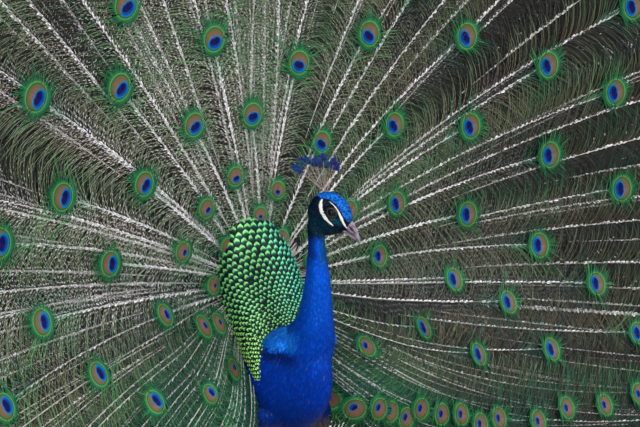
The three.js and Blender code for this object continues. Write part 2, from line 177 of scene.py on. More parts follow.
class Finish:
    """One material and the means to build its nodes."""

    def __init__(self, name: str) -> None:
        """Makes an empty material with a Principled shader."""
        self.material = bpy.data.materials.new(name)
        self.material.use_nodes = True
        self.tree = self.material.node_tree
        self.tree.nodes.clear()
        self.output = self.tree.nodes.new("ShaderNodeOutputMaterial")
        self.shader = self.tree.nodes.new("ShaderNodeBsdfPrincipled")
        self.tree.links.new(self.shader.outputs[0], self.output.inputs[0])

    def node(self, kind: str, settings: dict[str, object], inputs: dict[int | str, object]) -> bpy.types.Node:
        """Adds a node.

        Args:
            kind: the node's type.
            settings: its properties, set first; "stops" fills a colour ramp.
            inputs: the value or link of each socket, by index or name.

        Returns:
            The new node.
        """
        made = self.tree.nodes.new(kind)
        for key, value in settings.items():
            if key == "stops":
                ramp = made.color_ramp
                while len(ramp.elements) < len(value):
                    ramp.elements.new(0.5)
                for element, (place, colour) in zip(ramp.elements, value):
                    element.position = place
                    element.color = (*colour, 1.0)
            else:
                setattr(made, key, value)
        for key, value in inputs.items():
            socket = made.inputs[key]
            if isinstance(value, Value):
                self.tree.links.new(value.socket, socket)
            elif isinstance(value, bpy.types.NodeSocket):
                self.tree.links.new(value, socket)
            else:
                socket.default_value = value
        return made

    def map(self, name: str) -> tuple[Value, Value]:
        """The two coordinates of one of the piece's own UV maps."""
        where = self.node("ShaderNodeUVMap", {"uv_map": name}, {})
        split = self.node("ShaderNodeSeparateXYZ", {}, {0: where.outputs[0]})
        return Value(self, split.outputs[0]), Value(self, split.outputs[1])

    def place(self) -> tuple[Value, Value, Value]:
        """The point's place in the row frame, in metres."""
        split = self.node("ShaderNodeSeparateXYZ", {}, {0: self.where()})
        return tuple(Value(self, split.outputs[i]) for i in range(3))

    def where(self) -> bpy.types.NodeSocket:
        """The Object coordinate socket."""
        return self.node("ShaderNodeTexCoord", {}, {}).outputs["Object"]

    def noise(self, scale: float, detail: float = 3.0, vector: bpy.types.NodeSocket | None = None) -> Value:
        """Noise over the object, about 0.5 in the middle."""
        made = self.node(
            "ShaderNodeTexNoise", {}, {"Vector": vector or self.where(), "Scale": scale, "Detail": detail}
        )
        return Value(self, made.outputs[0])

    def tone(self, name: str) -> bpy.types.NodeSocket:
        """The colour stored on the mesh under a name."""
        return self.node("ShaderNodeAttribute", {"attribute_name": name}, {}).outputs["Color"]

    def number(self, name: str) -> Value:
        """The number stored on the mesh under a name."""
        return Value(self, self.node("ShaderNodeAttribute", {"attribute_name": name}, {}).outputs["Fac"])

    def ramp(self, value: Value, stops: Sequence[tuple[float, Colour]]) -> bpy.types.NodeSocket:
        """A colour ramp over a number."""
        return self.node("ShaderNodeValToRGB", {"stops": list(stops)}, {0: value}).outputs[0]

    def mix(self, share: Value | float, a: object, b: object, blend: str = "MIX") -> bpy.types.NodeSocket:
        """Mixes two colours, each a socket or a colour."""
        a, b = ((*c, 1.0) if isinstance(c, tuple) else c for c in (a, b))
        made = self.node("ShaderNodeMix", {"data_type": "RGBA", "blend_type": blend}, {0: share, 6: a, 7: b})
        return made.outputs[2]

    def bump(self, height: Value, strength: float, distance: float) -> None:
        """Feeds the shader's normal from a height, the distance in metres."""
        made = self.node("ShaderNodeBump", {}, {"Strength": strength, "Distance": distance, "Height": height})
        self.tree.links.new(made.outputs[0], self.shader.inputs["Normal"])

    def dress(self, inputs: dict[str, object]) -> bpy.types.Material:
        """Sets or links sockets of the shader by name and returns the material."""
        for key, value in inputs.items():
            socket = self.shader.inputs[key]
            if isinstance(value, Value):
                self.tree.links.new(value.socket, socket)
            elif isinstance(value, bpy.types.NodeSocket):
                self.tree.links.new(value, socket)
            else:
                socket.default_value = (*value, 1.0) if isinstance(value, tuple) and len(value) == 3 else value
        return self.material


# ---------------------------------------------------------------- meshes
@dataclass
class Batch:
    """Many small shapes joined into one mesh from arrays."""

    points: list[Array] = field(default_factory=list)
    quads: list[Array] = field(default_factory=list)
    tris: list[Array] = field(default_factory=list)
    maps: dict[str, list[Array]] = field(default_factory=dict)
    numbers: dict[str, list[Array]] = field(default_factory=dict)
    tones: dict[str, list[Array]] = field(default_factory=dict)
    count: int = 0

    def add(
        self,
        points: Array,
        quads: Array,
        tris: Array,
        maps: dict[str, Array],
        numbers: dict[str, Array] | None = None,
        tones: dict[str, Array] | None = None,
    ) -> None:
        """Adds copies of one small shape.

        Args:
            points: places of the vertices, copies by vertices by 3, in millimetres.
            quads: four vertex numbers a face, the same for every copy.
            tris: three vertex numbers a face, the same for every copy.
            maps: UV maps by name, copies by vertices by 2.
            numbers: numbers stored on the vertices by name.
            tones: colours stored on the vertices by name.
        """
        copies, size = points.shape[:2]
        start = self.count + np.arange(copies)[:, None, None] * size
        self.points.append(points.reshape(-1, 3))
        self.quads.append((start + np.asarray(quads, int).reshape(1, -1, 4)).reshape(-1, 4))
        self.tris.append((start + np.asarray(tris, int).reshape(1, -1, 3)).reshape(-1, 3))
        for store, values, width in ((self.maps, maps, 2), (self.numbers, numbers or {}, 1), (self.tones, tones or {}, 3)):
            for key, value in values.items():
                full = np.broadcast_to(value, (copies, size, width) if width > 1 else (copies, size))
                store.setdefault(key, []).append(full.reshape(-1, width) if width > 1 else full.reshape(-1))
        self.count += copies * size

    def triangles(self) -> int:
        """How many triangles the batch holds."""
        return sum(2 * len(q) for q in self.quads) + sum(len(t) for t in self.tris)

    def make(self, name: str, material: bpy.types.Material, soft: bool = True) -> bpy.types.Object:
        """Makes the joined mesh as an object at the origin."""
        points = (np.concatenate(self.points) + SHIFT) * MM
        quads, tris = np.concatenate(self.quads), np.concatenate(self.tris)
        corners = np.concatenate([quads.ravel(), tris.ravel()]).astype(np.int32)
        starts = np.concatenate([np.arange(len(quads)) * 4, 4 * len(quads) + np.arange(len(tris)) * 3])
        mesh = bpy.data.meshes.new(name)
        mesh.vertices.add(len(points))
        mesh.vertices.foreach_set("co", points.astype(np.float32).ravel())
        mesh.loops.add(len(corners))
        mesh.loops.foreach_set("vertex_index", corners)
        mesh.polygons.add(len(starts))
        mesh.polygons.foreach_set("loop_start", starts.astype(np.int32))
        mesh.update(calc_edges=True)
        mesh.polygons.foreach_set("use_smooth", np.full(len(starts), soft))
        for key, parts in self.maps.items():
            layer = mesh.uv_layers.new(name=key)
            layer.uv.foreach_set("vector", np.concatenate(parts)[corners].astype(np.float32).ravel())
        for key, parts in self.numbers.items():
            store = mesh.attributes.new(key, "FLOAT", "POINT")
            store.data.foreach_set("value", np.concatenate(parts).astype(np.float32))
        for key, parts in self.tones.items():
            store = mesh.attributes.new(key, "FLOAT_COLOR", "POINT")
            full = np.concatenate([np.concatenate(parts), np.ones((len(points), 1))], axis=1)
            store.data.foreach_set("color", full.astype(np.float32).ravel())
        mesh.materials.append(material)
        made = bpy.data.objects.new(name, mesh)
        bpy.context.scene.collection.objects.link(made)
        return made


def ring_loft(bm: bmesh.types.BMesh, rings: Sequence[Matrix], segments: int) -> None:
    """Joins circles placed by matrices into one closed skin.

    Args:
        bm: the mesh that gets the loft.
        rings: a matrix for each circle of radius 1.
        segments: sides of each circle.
    """
    loops = []
    for matrix in rings:
        made = bmesh.ops.create_circle(bm, cap_ends=False, radius=1.0, segments=segments, matrix=matrix)
        edges = {e for v in made["verts"] for e in v.link_edges}
        loops.append(list(edges))
    for a, b in zip(loops, loops[1:]):
        bmesh.ops.bridge_loops(bm, edges=a + b)
    bmesh.ops.holes_fill(bm, edges=loops[0] + loops[-1], sides=segments)


def section(centre: Array, side: Array, top: Array, wide: float, high: float) -> Matrix:
    """The matrix that puts a circle of radius 1 in a section, sizes in millimetres."""
    normal = np.cross(side, top)
    columns = np.stack([side * wide, top * high, normal, centre], axis=1)
    rows = [list(r) for r in columns] + [[0.0, 0.0, 0.0, 1.0]]
    return Matrix(rows)


def finish_mesh(bm: bmesh.types.BMesh, name: str, material: bpy.types.Material, soft: bool = True) -> bpy.types.Object:
    """Turns a bmesh into an object at the origin with its faces pointing out."""
    bmesh.ops.remove_doubles(bm, verts=bm.verts, dist=0.001)
    bmesh.ops.recalc_face_normals(bm, faces=bm.faces)
    bm.transform(Matrix.Scale(MM, 4) @ Matrix.Translation(SHIFT))
    mesh = bpy.data.meshes.new(name)
    bm.to_mesh(mesh)
    bm.free()
    mesh.polygons.foreach_set("use_smooth", np.full(len(mesh.polygons), soft))
    mesh.materials.append(material)
    made = bpy.data.objects.new(name, mesh)
    bpy.context.scene.collection.objects.link(made)
    return made


# ---------------------------------------------------------------- the fan that the train feathers lie in
@dataclass(frozen=True)
class Fan:
    """The dished sheet of the open train, flat coordinates being x and the height over the hub."""

    hub: tuple[float, float, float] = (0.0, 75.0, 470.0)
    length_top: float = 1400.0
    length_side: float = 1235.0
    bottom_drop: float = 268.0
    curve_top: float = 3400.0
    curve_side: float = 2300.0
    low_pull: float = 128.0

    def reach(self, angle: Array) -> Array:
        """How far the fan goes at an angle from upright, in degrees."""
        free = self.length_top + (self.length_side - self.length_top) * smooth((abs(angle) - 35) / 65)
        down = np.maximum(-np.cos(np.radians(angle)), 0.02)
        return np.where(down > 0.02, (free**-6 + (self.bottom_drop / down) ** -6) ** (-1 / 6), free)

    def forward(self, angle: Array, radius: Array) -> Array:
        """How far the sheet comes forward of the hub."""
        curve = self.curve_top + (self.curve_side - self.curve_top) * smooth(abs(angle) / 100)
        pull = self.low_pull * smooth((abs(angle) - 82) / 50)
        pull = pull * (1 - 0.32 * smooth((abs(angle) - 148) / 18))
        return radius**2 / (2 * curve) + pull * smooth((radius - 35) / 185)

    def lay(self, flat: Array, back: Array | float) -> Array:
        """Points in space for flat coordinates and a distance behind the sheet's front."""
        angle = np.degrees(np.arctan2(flat[..., 0], flat[..., 1]))
        radius = np.hypot(flat[..., 0], flat[..., 1])
        y = self.hub[1] - self.forward(angle, radius) + back
        return np.stack([flat[..., 0], y, self.hub[2] + flat[..., 1]], axis=-1)


def heading(angle: Array) -> Array:
    """Flat unit vectors at angles from upright, in degrees, towards +x."""
    a = np.radians(angle)
    return np.stack([np.sin(a), np.cos(a)], axis=-1)


class Kind(Enum):
    """The sorts of train feather."""

    EYED = 1
    LOW = 2
    FORKED = 3


@dataclass
class Feather:
    """One feather of the train, its shaft as flat points from the root to the middle of the eyespot."""

    kind: Kind
    angle: float
    path: Array
    back: float
    size: float
    chance: float
    lead: float
    light: float

    def read(self, distance: Array) -> tuple[Array, Array]:
        """Flat places and headings at distances along the shaft."""
        steps = np.linalg.norm(np.diff(self.path, axis=0), axis=1)
        run = np.concatenate([[0.0], np.cumsum(steps)])
        place = np.stack([np.interp(distance, run, self.path[:, i]) for i in range(2)], axis=-1)
        way = np.degrees(np.arctan2(*np.gradient(self.path, axis=0).T))
        return place, np.interp(distance, run, np.unwrap(way, period=360))

    def length(self) -> float:
        """Length of the shaft."""
        return float(np.linalg.norm(np.diff(self.path, axis=0), axis=1).sum())


@dataclass
class TrainPlan:
    """Where every feather of the train starts and ends."""

    fan: Fan = Fan()
    shown: tuple[tuple[float, float], ...] = (
        (504, -29), (402, -14), (356, 9), (437, 25), (535, 43), (627, 57), (719, 66), (498, -51), (409, -38),
        (291, -26), (274, -5), (247, 25), (344, 44), (453, 58), (570, 71), (693, 80), (383, -64), (275, -50),
        (166, -38), (186, -17), (153, 9), (114, -4), (82, 24), (159, -65), (276, -77), (191, -96), (137, -108),
        (107, -114), (146, -135), (389, -91), (329, -105), (279, -117), (206, -127), (478, -103), (459, -76),
        (396, 77), (524, 87), (622, 94), (350, 93), (446, 98), (526, 106), (270, 108), (376, 111), (162, 126),
        (216, 82), (274, 65), (92, -84), (698, 101), (192, 55), (90, 68), (96, -44), (98, 104),
    )
    shown_reach: tuple[tuple[float, float], ...] = (
        (-150, 220), (-130, 270), (-120, 330), (-110, 430), (-90, 470), (-70, 490), (-60, 520), (-50, 570), (-40, 570),
        (-30, 530), (-20, 470), (10, 460), (30, 540), (40, 600), (50, 700), (60, 790), (80, 735), (110, 710),
        (120, 540), (130, 390), (150, 270),
    )
    first_ring: float = 480.0
    lowest: float = -170.0
    low_spans: tuple[float, ...] = (
        64, 92, 120, 148, 174, 204, 240, 280, 320, 362, 432, 506, 582, 660, 738, 816, 892, 966, 1040, 1110,
    )
    low_drops: tuple[tuple[float, float], ...] = (
        (64, 176), (150, 201), (240, 222), (350, 240), (520, 248), (900, 242), (1000, 222), (1110, 150),
    )
    low_drops_right: tuple[tuple[float, float], ...] = (
        (64, 238), (150, 252), (240, 268), (350, 284), (520, 290), (900, 282), (1000, 258), (1110, 186),
    )
    skirt_step: float = 34.0
    skirt_drop: float = 30.0
    forked_step: float = 6.0
    forked_radius: float = 1340.0
    root: float = 34.0
    depth: float = 22.0

    def feather(self, kind: Kind, angle: float, radius: float, size: float, rng: np.random.Generator) -> Feather:
        """Draws one shaft.

        Args:
            kind: the sort of feather.
            angle: of the eyespot from upright, in degrees.
            radius: of the eyespot from the hub.
            size: of the eyespot against a full one.
            rng: the source of chance.

        Returns:
            The feather.
        """
        low = smooth((abs(angle) - 85) / 45)
        bow = 35.0 if angle > 0 else -14.0
        sway = math.copysign(1.0, angle) * (bow * low - 5 * (1 - low)) * smooth(radius / 500) + rng.normal(0, 1.6)
        start = heading(angle + 0.35 * sway) * self.root
        end = heading(angle) * radius
        middle = start + heading(angle + sway) * 0.5 * np.linalg.norm(end - start)
        t = np.linspace(0, 1, 40)[:, None]
        path = (1 - t) ** 2 * start + 2 * t * (1 - t) * middle + t**2 * end
        back = self.depth * (radius / 1400) ** 0.7 - 6 + rng.uniform(-3, 3)
        # lead: the side whose barbs lie in front; the barbs' colour paints that side lit and the other side in shade
        lead = -1.0 if rng.random() < 0.78 else 1.0
        return Feather(kind, angle, path, back, size, rng.random(), lead, rng.uniform(0.35, 1.0))

    def eye_size(self, radius: float, angle: float) -> float:
        """Size of an eyespot at a distance from the hub and an angle, against a full one."""
        full = float(np.interp(radius, (84, 262, 480, 900), (0.60, 0.88, 1.03, 1.08)))
        return full * (1 - 0.2 * float(smooth((abs(angle) - 80) / 22)) * float(smooth((radius - 120) / 80)))

    def draw(self) -> list[Feather]:
        """All the feathers, the same each time."""
        rng = np.random.default_rng(7)
        made = []
        for radius, angle in self.shown:
            made.append(self.feather(Kind.EYED, angle, radius, self.eye_size(radius, angle), rng))
        taken = [np.array(self.shown)[:, :1] * heading(np.array(self.shown)[:, 1])]
        radius, k = self.first_ring, 0
        while radius < 1262:
            gap = float(np.interp(radius, (400, 700, 1250), (134, 142, 136)))
            step = math.degrees(1.44 * gap / radius)
            span = math.degrees(math.acos(self.lowest / radius))
            for i in range(-int(span / step) - 1, int(span / step) + 2):
                angle = (i + 0.5 * (k % 2)) * step + rng.normal(0, 0.05 * step)
                seen = float(np.interp(angle, *np.array(self.shown_reach).T))
                scale = float(self.fan.reach(np.array(angle)) / 1400) ** (radius / 1400)
                place = (radius * scale + rng.normal(0, 8)) * heading(np.array(angle))
                near = min(float(np.linalg.norm(group - place, axis=-1).min()) for group in taken)
                if abs(angle) > span or radius < seen + 10 or near < 0.72 * gap:
                    continue
                taken.append(place[None])
                made.append(self.feather(Kind.EYED, angle, float(np.linalg.norm(place)), self.eye_size(radius, angle), rng))
            radius += 0.62 * gap
            k += 1
        for side in (-1, 1):
            for i, span in enumerate(self.low_spans):
                x = side * (span + rng.normal(0, 3))
                drops = self.low_drops if side > 0 else self.low_drops_right
                height = -float(np.interp(span, *np.array(drops).T)) + 9 * (i % 2) + rng.normal(0, 4)
                angle = math.degrees(math.atan2(x, height))
                made.append(self.feather(Kind.LOW, angle, math.hypot(x, height), 0.8, rng))
            for span in np.arange(44.0, 1080.0, self.skirt_step):
                drops = self.low_drops if side > 0 else self.low_drops_right
                x = side * (span + rng.normal(0, 5))
                height = -float(np.interp(span, *np.array(drops).T)) - self.skirt_drop + rng.normal(0, 5)
                angle = math.degrees(math.atan2(x, height))
                made.append(self.feather(Kind.FORKED, angle, math.hypot(x, height), 0.8, rng))
        for i in range(-16, 17):
            angle = i * self.forked_step + rng.normal(0, 0.8)
            radius = self.forked_radius * float(self.fan.reach(np.array(angle)) / 1400) + rng.normal(0, 10)
            made.append(self.feather(Kind.FORKED, angle, radius, 1.0, rng))
        return made


@dataclass(frozen=True)
class ShaftFinish:
    """Ivory white shafts, greyer to the tip."""

    pale: Colour = rgb(196, 188, 186)
    dull: Colour = rgb(138, 116, 104)

    def make(self) -> bpy.types.Material:
        """Builds the material."""
        f = Finish("quill_ivory")
        along_shaft, _ = f.map("Lie")
        spots = f.noise(260, 2)
        colour = f.mix(along_shaft.step(0.55, 1.0) * 0.8, self.pale, self.dull)
        colour = f.mix(spots.step(0.5, 0.75) * 0.25, colour, self.dull)
        f.bump(f.noise(900, 2), 0.2, 0.0004)
        return f.dress({"Base Color": colour, "Roughness": 0.38 + 0.2 * spots, "Coat Weight": 0.15})


@dataclass(frozen=True)
class PlumeFinish:
    """Loose barbs: silvery at the shaft, partly painted glint; dark brown, then sage and green at the ends, turned dull
    by painted shade where unlit; over a dark underlayer, partly painted shade.
    """

    silver: Colour = rgb(250, 250, 255)
    black: Colour = rgb(15, 14, 14)
    brown: Colour = rgb(38, 31, 26)
    buff: Colour = rgb(176, 150, 112)
    olive: Colour = rgb(98, 108, 72)
    tan: Colour = rgb(100, 86, 64)
    sage: Colour = rgb(134, 158, 122)
    green: Colour = rgb(52, 136, 86)
    teal: Colour = rgb(10, 84, 66)
    lime: Colour = rgb(84, 186, 96)

    def make(self) -> bpy.types.Material:
        """Builds the material."""
        f = Finish("train_plume")
        run, share = f.map("Lie")
        light, fresh, gleam, under = (f.number(name) for name in ("light", "fresh", "gleam", "under"))
        patch = f.noise(4.0, 3)
        body = f.mix(patch.step(0.40, 0.60), self.tan, self.olive)
        tips = f.mix(patch.step(0.45, 0.65), self.sage, self.green)
        hair = f.mix(share.step(0.3, 0.95), body, tips)
        dull = f.mix(patch.step(0.45, 0.6), self.black, self.brown)
        # painted shade: a low light number turns barbs to the dull black-brown, and green barbs to teal
        hair = f.mix(light.step(0.1, 0.85) * share.step(0.04, 0.32), dull, hair)
        grass = f.mix(light.step(0.3, 0.9), self.teal, f.mix(share, self.green, self.lime))
        hair = f.mix(fresh * 0.9, hair, grass)
        # silver dashes at the barb roots: partly the barbs' own pale colour and partly painted glint, longer where the
        # gleam is stronger
        silver = (run / (gleam + 0.01)).step(0.092, 0.068) * (gleam * 1.2).least(1.0) * (1.0 - fresh * 0.6)
        hair = f.mix(silver, hair, self.silver)
        rows = ((run * 66.0 + f.noise(30, 2) * 9.0).wave() + f.noise(140, 2) * 0.8).step(0.65, 1.0)
        ticks = rows * run.step(0.62, 0.25) * f.number("tick") * (1.0 - fresh * 0.7)
        hair = f.mix(ticks, hair, self.silver)
        # the underlayer's near-black stands partly for the barbs behind and partly for painted shade in the depth of
        # the train
        deep = f.mix(patch.step(0.45, 0.6), self.black, rgb(14, 30, 22))
        deep = f.mix(light.step(0.45, 1.0) * 0.8, deep, self.buff)
        deep = f.mix(fresh * 0.75, deep, rgb(6, 56, 44))
        return f.dress({
            "Base Color": f.mix(under, hair, deep),
            "Metallic": share.step(0.3, 0.8) * (1.0 - under) * 0.3,
            "Roughness": 0.42 + 0.2 * light,
            "Specular IOR Level": 0.3,
        })


@dataclass(frozen=True)
class EyeFinish:
    """The rings of an eyespot, drawn from its own flat map in millimetres."""

    core: Colour = rgb(14, 10, 82)
    blue: Colour = rgb(0, 62, 150)
    cyan: Colour = rgb(0, 114, 160)
    bronze: Colour = rgb(124, 92, 78)
    gold: Colour = rgb(98, 142, 68)
    emerald: Colour = rgb(14, 78, 48)
    lime: Colour = rgb(38, 122, 76)

    def make(self) -> bpy.types.Material:
        """Builds the material."""
        f = Finish("train_eyespot")
        u, v = f.map("Eye")
        x, y = (u - 0.5) * 100, (v - 0.5) * 100
        iris = f.number("iris")
        wobble = (f.noise(90, 3) - 0.5) * 1.6

        def oval(shift: float, long: float, wide: float) -> Value:
            """Distance from a centre, 1 on the oval's edge."""
            a, b = (x - shift) / long, y / wide
            return (a * a + b * b).root()

        blue = oval(-4.0, 10.4, 15.6) / iris
        dent = (1.0 - ((x - 4.4) * (x - 4.4) + y * y * 1.4).root() / 4.4).most(0.0) * 0.6
        core = oval(-1.6, 5.8, 10.6) / iris + dent
        bronze = oval(1.6, 16.4, 18.4) + wobble * 0.02
        ring = oval(1.6, 18.0, 20.0) + wobble * 0.02
        line = oval(1.8, 19.6, 21.6) + wobble * 0.02
        chance = f.number("chance")
        fringe = f.mix(chance, self.emerald, self.lime)
        fringe = f.mix(oval(2.0, 34.0, 31.0).step(0.85, 1.1) * chance, fringe, rgb(70, 150, 84))
        colour = f.mix(line.step(1.06, 1.4), f.mix(chance, rgb(34, 118, 70), self.lime), fringe)
        colour = f.mix(line.step(1.04, 0.99), colour, self.gold)
        colour = f.mix(ring.step(1.02, 0.97), colour, rgb(16, 92, 60))
        inner = f.mix(bronze.step(0.5, 0.95), self.bronze, rgb(98, 92, 56))
        colour = f.mix(bronze.step(1.01, 0.95), colour, inner)
        ocean = f.mix(blue.step(0.62, 0.9), self.blue, self.cyan)
        colour = f.mix(blue.step(1.03, 0.95), colour, ocean)
        colour = f.mix(core.step(1.08, 0.92), colour, self.core)
        grain = f.number("strand").step(0.0, 1.0)
        colour = f.mix(grain * line.step(0.9, 1.3) * 0.6 + grain * 0.12, colour, rgb(8, 22, 18))
        return f.dress({"Base Color": colour, "Metallic": 0.3, "Roughness": 0.4 + 0.16 * grain, "Specular IOR Level": 0.12})


@dataclass
class Train:
    """The open train: shafts, loose plumes in seven fields, and eyespots."""

    fan: Fan
    feathers: list[Feather]
    fields: dict[str, tuple[float, float]] = field(default_factory=lambda: {
        "right_lower": (-190, -104), "right_side": (-104, -66), "right_upper": (-66, -22), "centre": (-22, 22),
        "left_upper": (22, 66), "left_side": (66, 104), "left_lower": (104, 190),
    })
    hair_gap: float = 4.4
    hair_width: float = 1.0
    under_width: float = 4.8
    under_depth: float = 22.0
    eye_radius: float = 35.0
    eye_strips: int = 22
    eye_columns: int = 16

    def quills(self) -> bpy.types.Object:
        """Round tapered shafts, seen from the front, and their ridges, seen from the back."""
        batch, sides, rings = Batch(), 5, 16
        turn = np.arange(sides) * 2 * np.pi / sides
        quads = [
            (r * sides + k, r * sides + (k + 1) % sides, (r + 1) * sides + (k + 1) % sides, (r + 1) * sides + k)
            for r in range(rings - 1) for k in range(sides)
        ]
        for one in self.feathers:
            t = np.linspace(0, 1, rings)
            end = one.length() - (20 * one.size if one.kind is not Kind.FORKED else -10)
            place, way = one.read(t * end)
            across = heading(way + 90)
            radius = (0.42 + 0.9 * (1 - t) ** 0.8) * (0.62 + 0.38 * min(1.0, one.length() / 700))
            wide = np.stack([across[:, 0], np.zeros(rings), across[:, 1]], axis=-1)
            deep = np.array([0.0, 1.0, 0.0])
            lie = np.stack([np.repeat(t, sides), np.tile(turn / 7, rings)], axis=-1)
            bake = np.stack([0.02 + 0.9 * one.chance + 0.02 * lie[:, 1], 0.02 + 0.95 * lie[:, 0]], axis=-1)
            rear = self.under_depth * (np.hypot(*place.T) / 1400) ** 0.7 + 5.5
            for back in (one.back, rear):
                ring = self.fan.lay(place, back)[:, None] + radius[:, None, None] * (
                    np.cos(turn)[None, :, None] * wide[:, None] + np.sin(turn)[None, :, None] * deep
                )
                batch.add(ring.reshape(1, -1, 3), quads, [], {"Lie": lie[None], "OFBake": bake[None]})
        made = batch.make("train_quills", ShaftFinish().make())
        LOG.info("train_quills: %d triangles", batch.triangles())
        return made

    def hairs(self, one: Feather, rng: np.random.Generator) -> tuple[Array, ...]:
        """Lays out the loose barbs of a feather.

        Args:
            one: the feather.
            rng: the source of chance.

        Returns:
            For each barb its place along the shaft, its side, its length and its distance from the tip.
        """
        total = one.length()
        stop = total - 20 * one.size if one.kind is not Kind.FORKED else total + 6
        run = np.arange(min(58.0, 0.3 * total), stop, self.hair_gap)
        apart = np.tile([0.0, 0.5 * self.hair_gap], len(run))
        run = np.repeat(run, 2)
        run = run + apart * smooth((run - 230) / 60) + rng.uniform(-0.7, 0.7, len(run))
        side = np.tile([-1.0, 1.0], len(run) // 2)
        place, _ = one.read(np.minimum(run, total))
        from_hub, to_tip = np.hypot(*place.T), total - run
        length = (34 + 52 * smooth(from_hub / 480)) * (1 + 0.15 * smooth((300 - to_tip) / 240))
        length *= np.interp(total, (80, 300), (0.66, 1.0))
        if one.kind is Kind.LOW:
            length *= 0.66
        if one.kind is Kind.FORKED:
            length *= 1 - 0.35 * smooth((60 - to_tip) / 60)
        clump = np.repeat(rng.uniform(0.8, 1.15, len(run) // 6 + 1), 6)[: len(run)]
        return run, side, length * clump * rng.uniform(0.9, 1.08, len(run)), to_tip

    def greenness(self, one: Feather, to_tip: Array, from_hub: Array, rng: np.random.Generator) -> Array:
        """How green the barbs are: near the eyespot, near the hub and low on the fan."""
        count = len(to_tip)
        fresh = 0.4 * smooth((120 - to_tip) / 80) if one.kind is Kind.FORKED else smooth((100 - to_tip) / 66)
        low = 0.85 * smooth((abs(one.angle) - 104) / 26) * (0.15 + 0.85 * smooth((380 - from_hub) / 180))
        fresh = np.maximum(fresh, low) * (0.6 + 0.4 * rng.random(count))
        fresh = np.maximum(fresh, 0.8 * smooth((200 - from_hub) / 130) * rng.random(count))
        if one.kind is Kind.LOW:
            fresh = np.maximum(fresh, smooth((280 - to_tip) / 120))
        return np.clip(fresh, 0, 1)

    def barbs(self, one: Feather, batch: Batch, field_box: Array, under: bool, rng: np.random.Generator) -> None:
        """Adds one layer of the loose barbs of a feather.

        Args:
            one: the feather.
            batch: the field's mesh.
            field_box: lowest and highest flat corner of the field, for the bake map.
            under: True for the broad dark layer behind, False for the fine one in front.
            rng: the source of chance.
        """
        run, side, length, to_tip = self.hairs(one, rng)
        if under:
            keep = rng.random(len(run)) < 0.85
            run, side, length, to_tip = run[keep], side[keep], length[keep] * 1.06, to_tip[keep]
        count = len(run)
        place, way = one.read(np.minimum(run, one.length()))
        from_hub = np.hypot(*place.T)
        u = np.array([0.0, 0.3, 0.7, 1.0]) if under else np.array([0.0, 0.1, 0.24, 0.46, 0.73, 1.0])
        turns = np.array([34.0, 52.0, 70.0]) if under else np.array([11.0, 38.0, 57.0, 71.0, 84.0])
        close = smooth((90 - to_tip) / 70) if one.kind is not Kind.FORKED else smooth((60 - to_tip) / 60) * 0.5
        turns = turns * (1 - 0.30 * close[:, None]) * rng.normal(1.0, 0.07, (count, 1)) + rng.normal(0, 3.0, (count, 1))
        stray = (rng.random(count) < 0.07)[:, None] * rng.normal(0, 26, (count, 1)) * (not under)
        turns = turns + stray * np.linspace(0, 1, len(u) - 1)
        steps = heading(way[:, None] + side[:, None] * turns) * (length[:, None] * np.diff(u))[..., None]
        line = place[:, None] + np.concatenate([np.zeros((count, 1, 2)), np.cumsum(steps, axis=1)], axis=1)
        turns = np.concatenate([turns[:, :1], 0.5 * (turns[:, 1:] + turns[:, :-1]), turns[:, -1:]], axis=1)
        lead = side == one.lead
        if under:
            depth = self.under_depth * (np.hypot(line[..., 0], line[..., 1]) / 1400) ** 0.7 + 1.0
            depth = depth + rng.uniform(0, 3, (count, 1))
        else:
            rise = rng.uniform(-5.0, 3.0, count)[:, None] * u**2
            depth = one.back + 0.2 + rise + np.where(lead, -2.0, 2.0)[:, None] * u
        centre = self.fan.lay(line, depth)
        flat = heading(way[:, None] + side[:, None] * turns + 90)
        tilt = np.radians(rng.normal(10, 12, count))[:, None]
        across = np.stack(
            [flat[..., 0] * np.cos(tilt), side[:, None] * np.sin(tilt) + 0 * u, flat[..., 1] * np.cos(tilt)], -1
        )
        high_up = smooth((108 - abs(one.angle)) / 14)
        inner = smooth((500 - from_hub) / 170) * smooth((96 - abs(one.angle)) / 16)
        upper = smooth((70 - abs(one.angle)) / 24)
        # gleam sets the silver dashes: partly the barbs' own pale colour and partly painted glint, stronger on the lit
        # lead side
        gleam = np.where(np.arange(count) // 2 % 2 == 0, 1.0, 0.1 + 0.5 * inner) * rng.uniform(0.65, 1.0, count)
        gleam = gleam * (rng.random(count) < 0.93) * (1 + 0.35 * inner + 0.3 * upper * (1 - inner))
        gleam = gleam * np.where(lead, 0.85 + 0.15 * high_up, 0.1 + 0.3 * upper + (0.8 - 0.3 * upper) * inner)
        west = smooth((40 - one.angle) / 50)
        tick = (0.25 + 0.6 * west) * high_up * smooth((740 - from_hub) / 420) * rng.uniform(0.3, 1.0, count)
        wide = 0.5 * (self.under_width if under else self.hair_width) * (0.85 + 0.3 * smooth(from_hub / 700))
        wide = wide * rng.uniform(0.8, 1.2, count)
        taper = np.array([0.8, 1.0, 0.8, 0.0]) if under else np.array([1.0, 1.0, 0.9, 0.85, 0.7, 0.0])
        half = wide[:, None] * taper
        if not under:
            half[:, :2] *= 1 + ((1.4 + 1.7 * high_up) * (1 - 0.65 * inner) * np.minimum(gleam, 1))[:, None]
        points = np.stack([centre - across * half[..., None], centre + across * half[..., None]], axis=2)
        size = 2 * len(u) - 1
        points = points.reshape(count, -1, 3)[:, :size]
        points[:, -1] = centre[:, -1]
        both = np.repeat(u, 2)[:size]
        shape = (count, size)
        root = (place - field_box[0]) / (field_box[1] - field_box[0])
        patch = np.stack([both * 0.003, np.tile([0.0, 0.002], len(u))[:size]], axis=-1)
        quads = [(2 * i, 2 * i + 1, 2 * i + 3, 2 * i + 2) for i in range(len(u) - 2)]
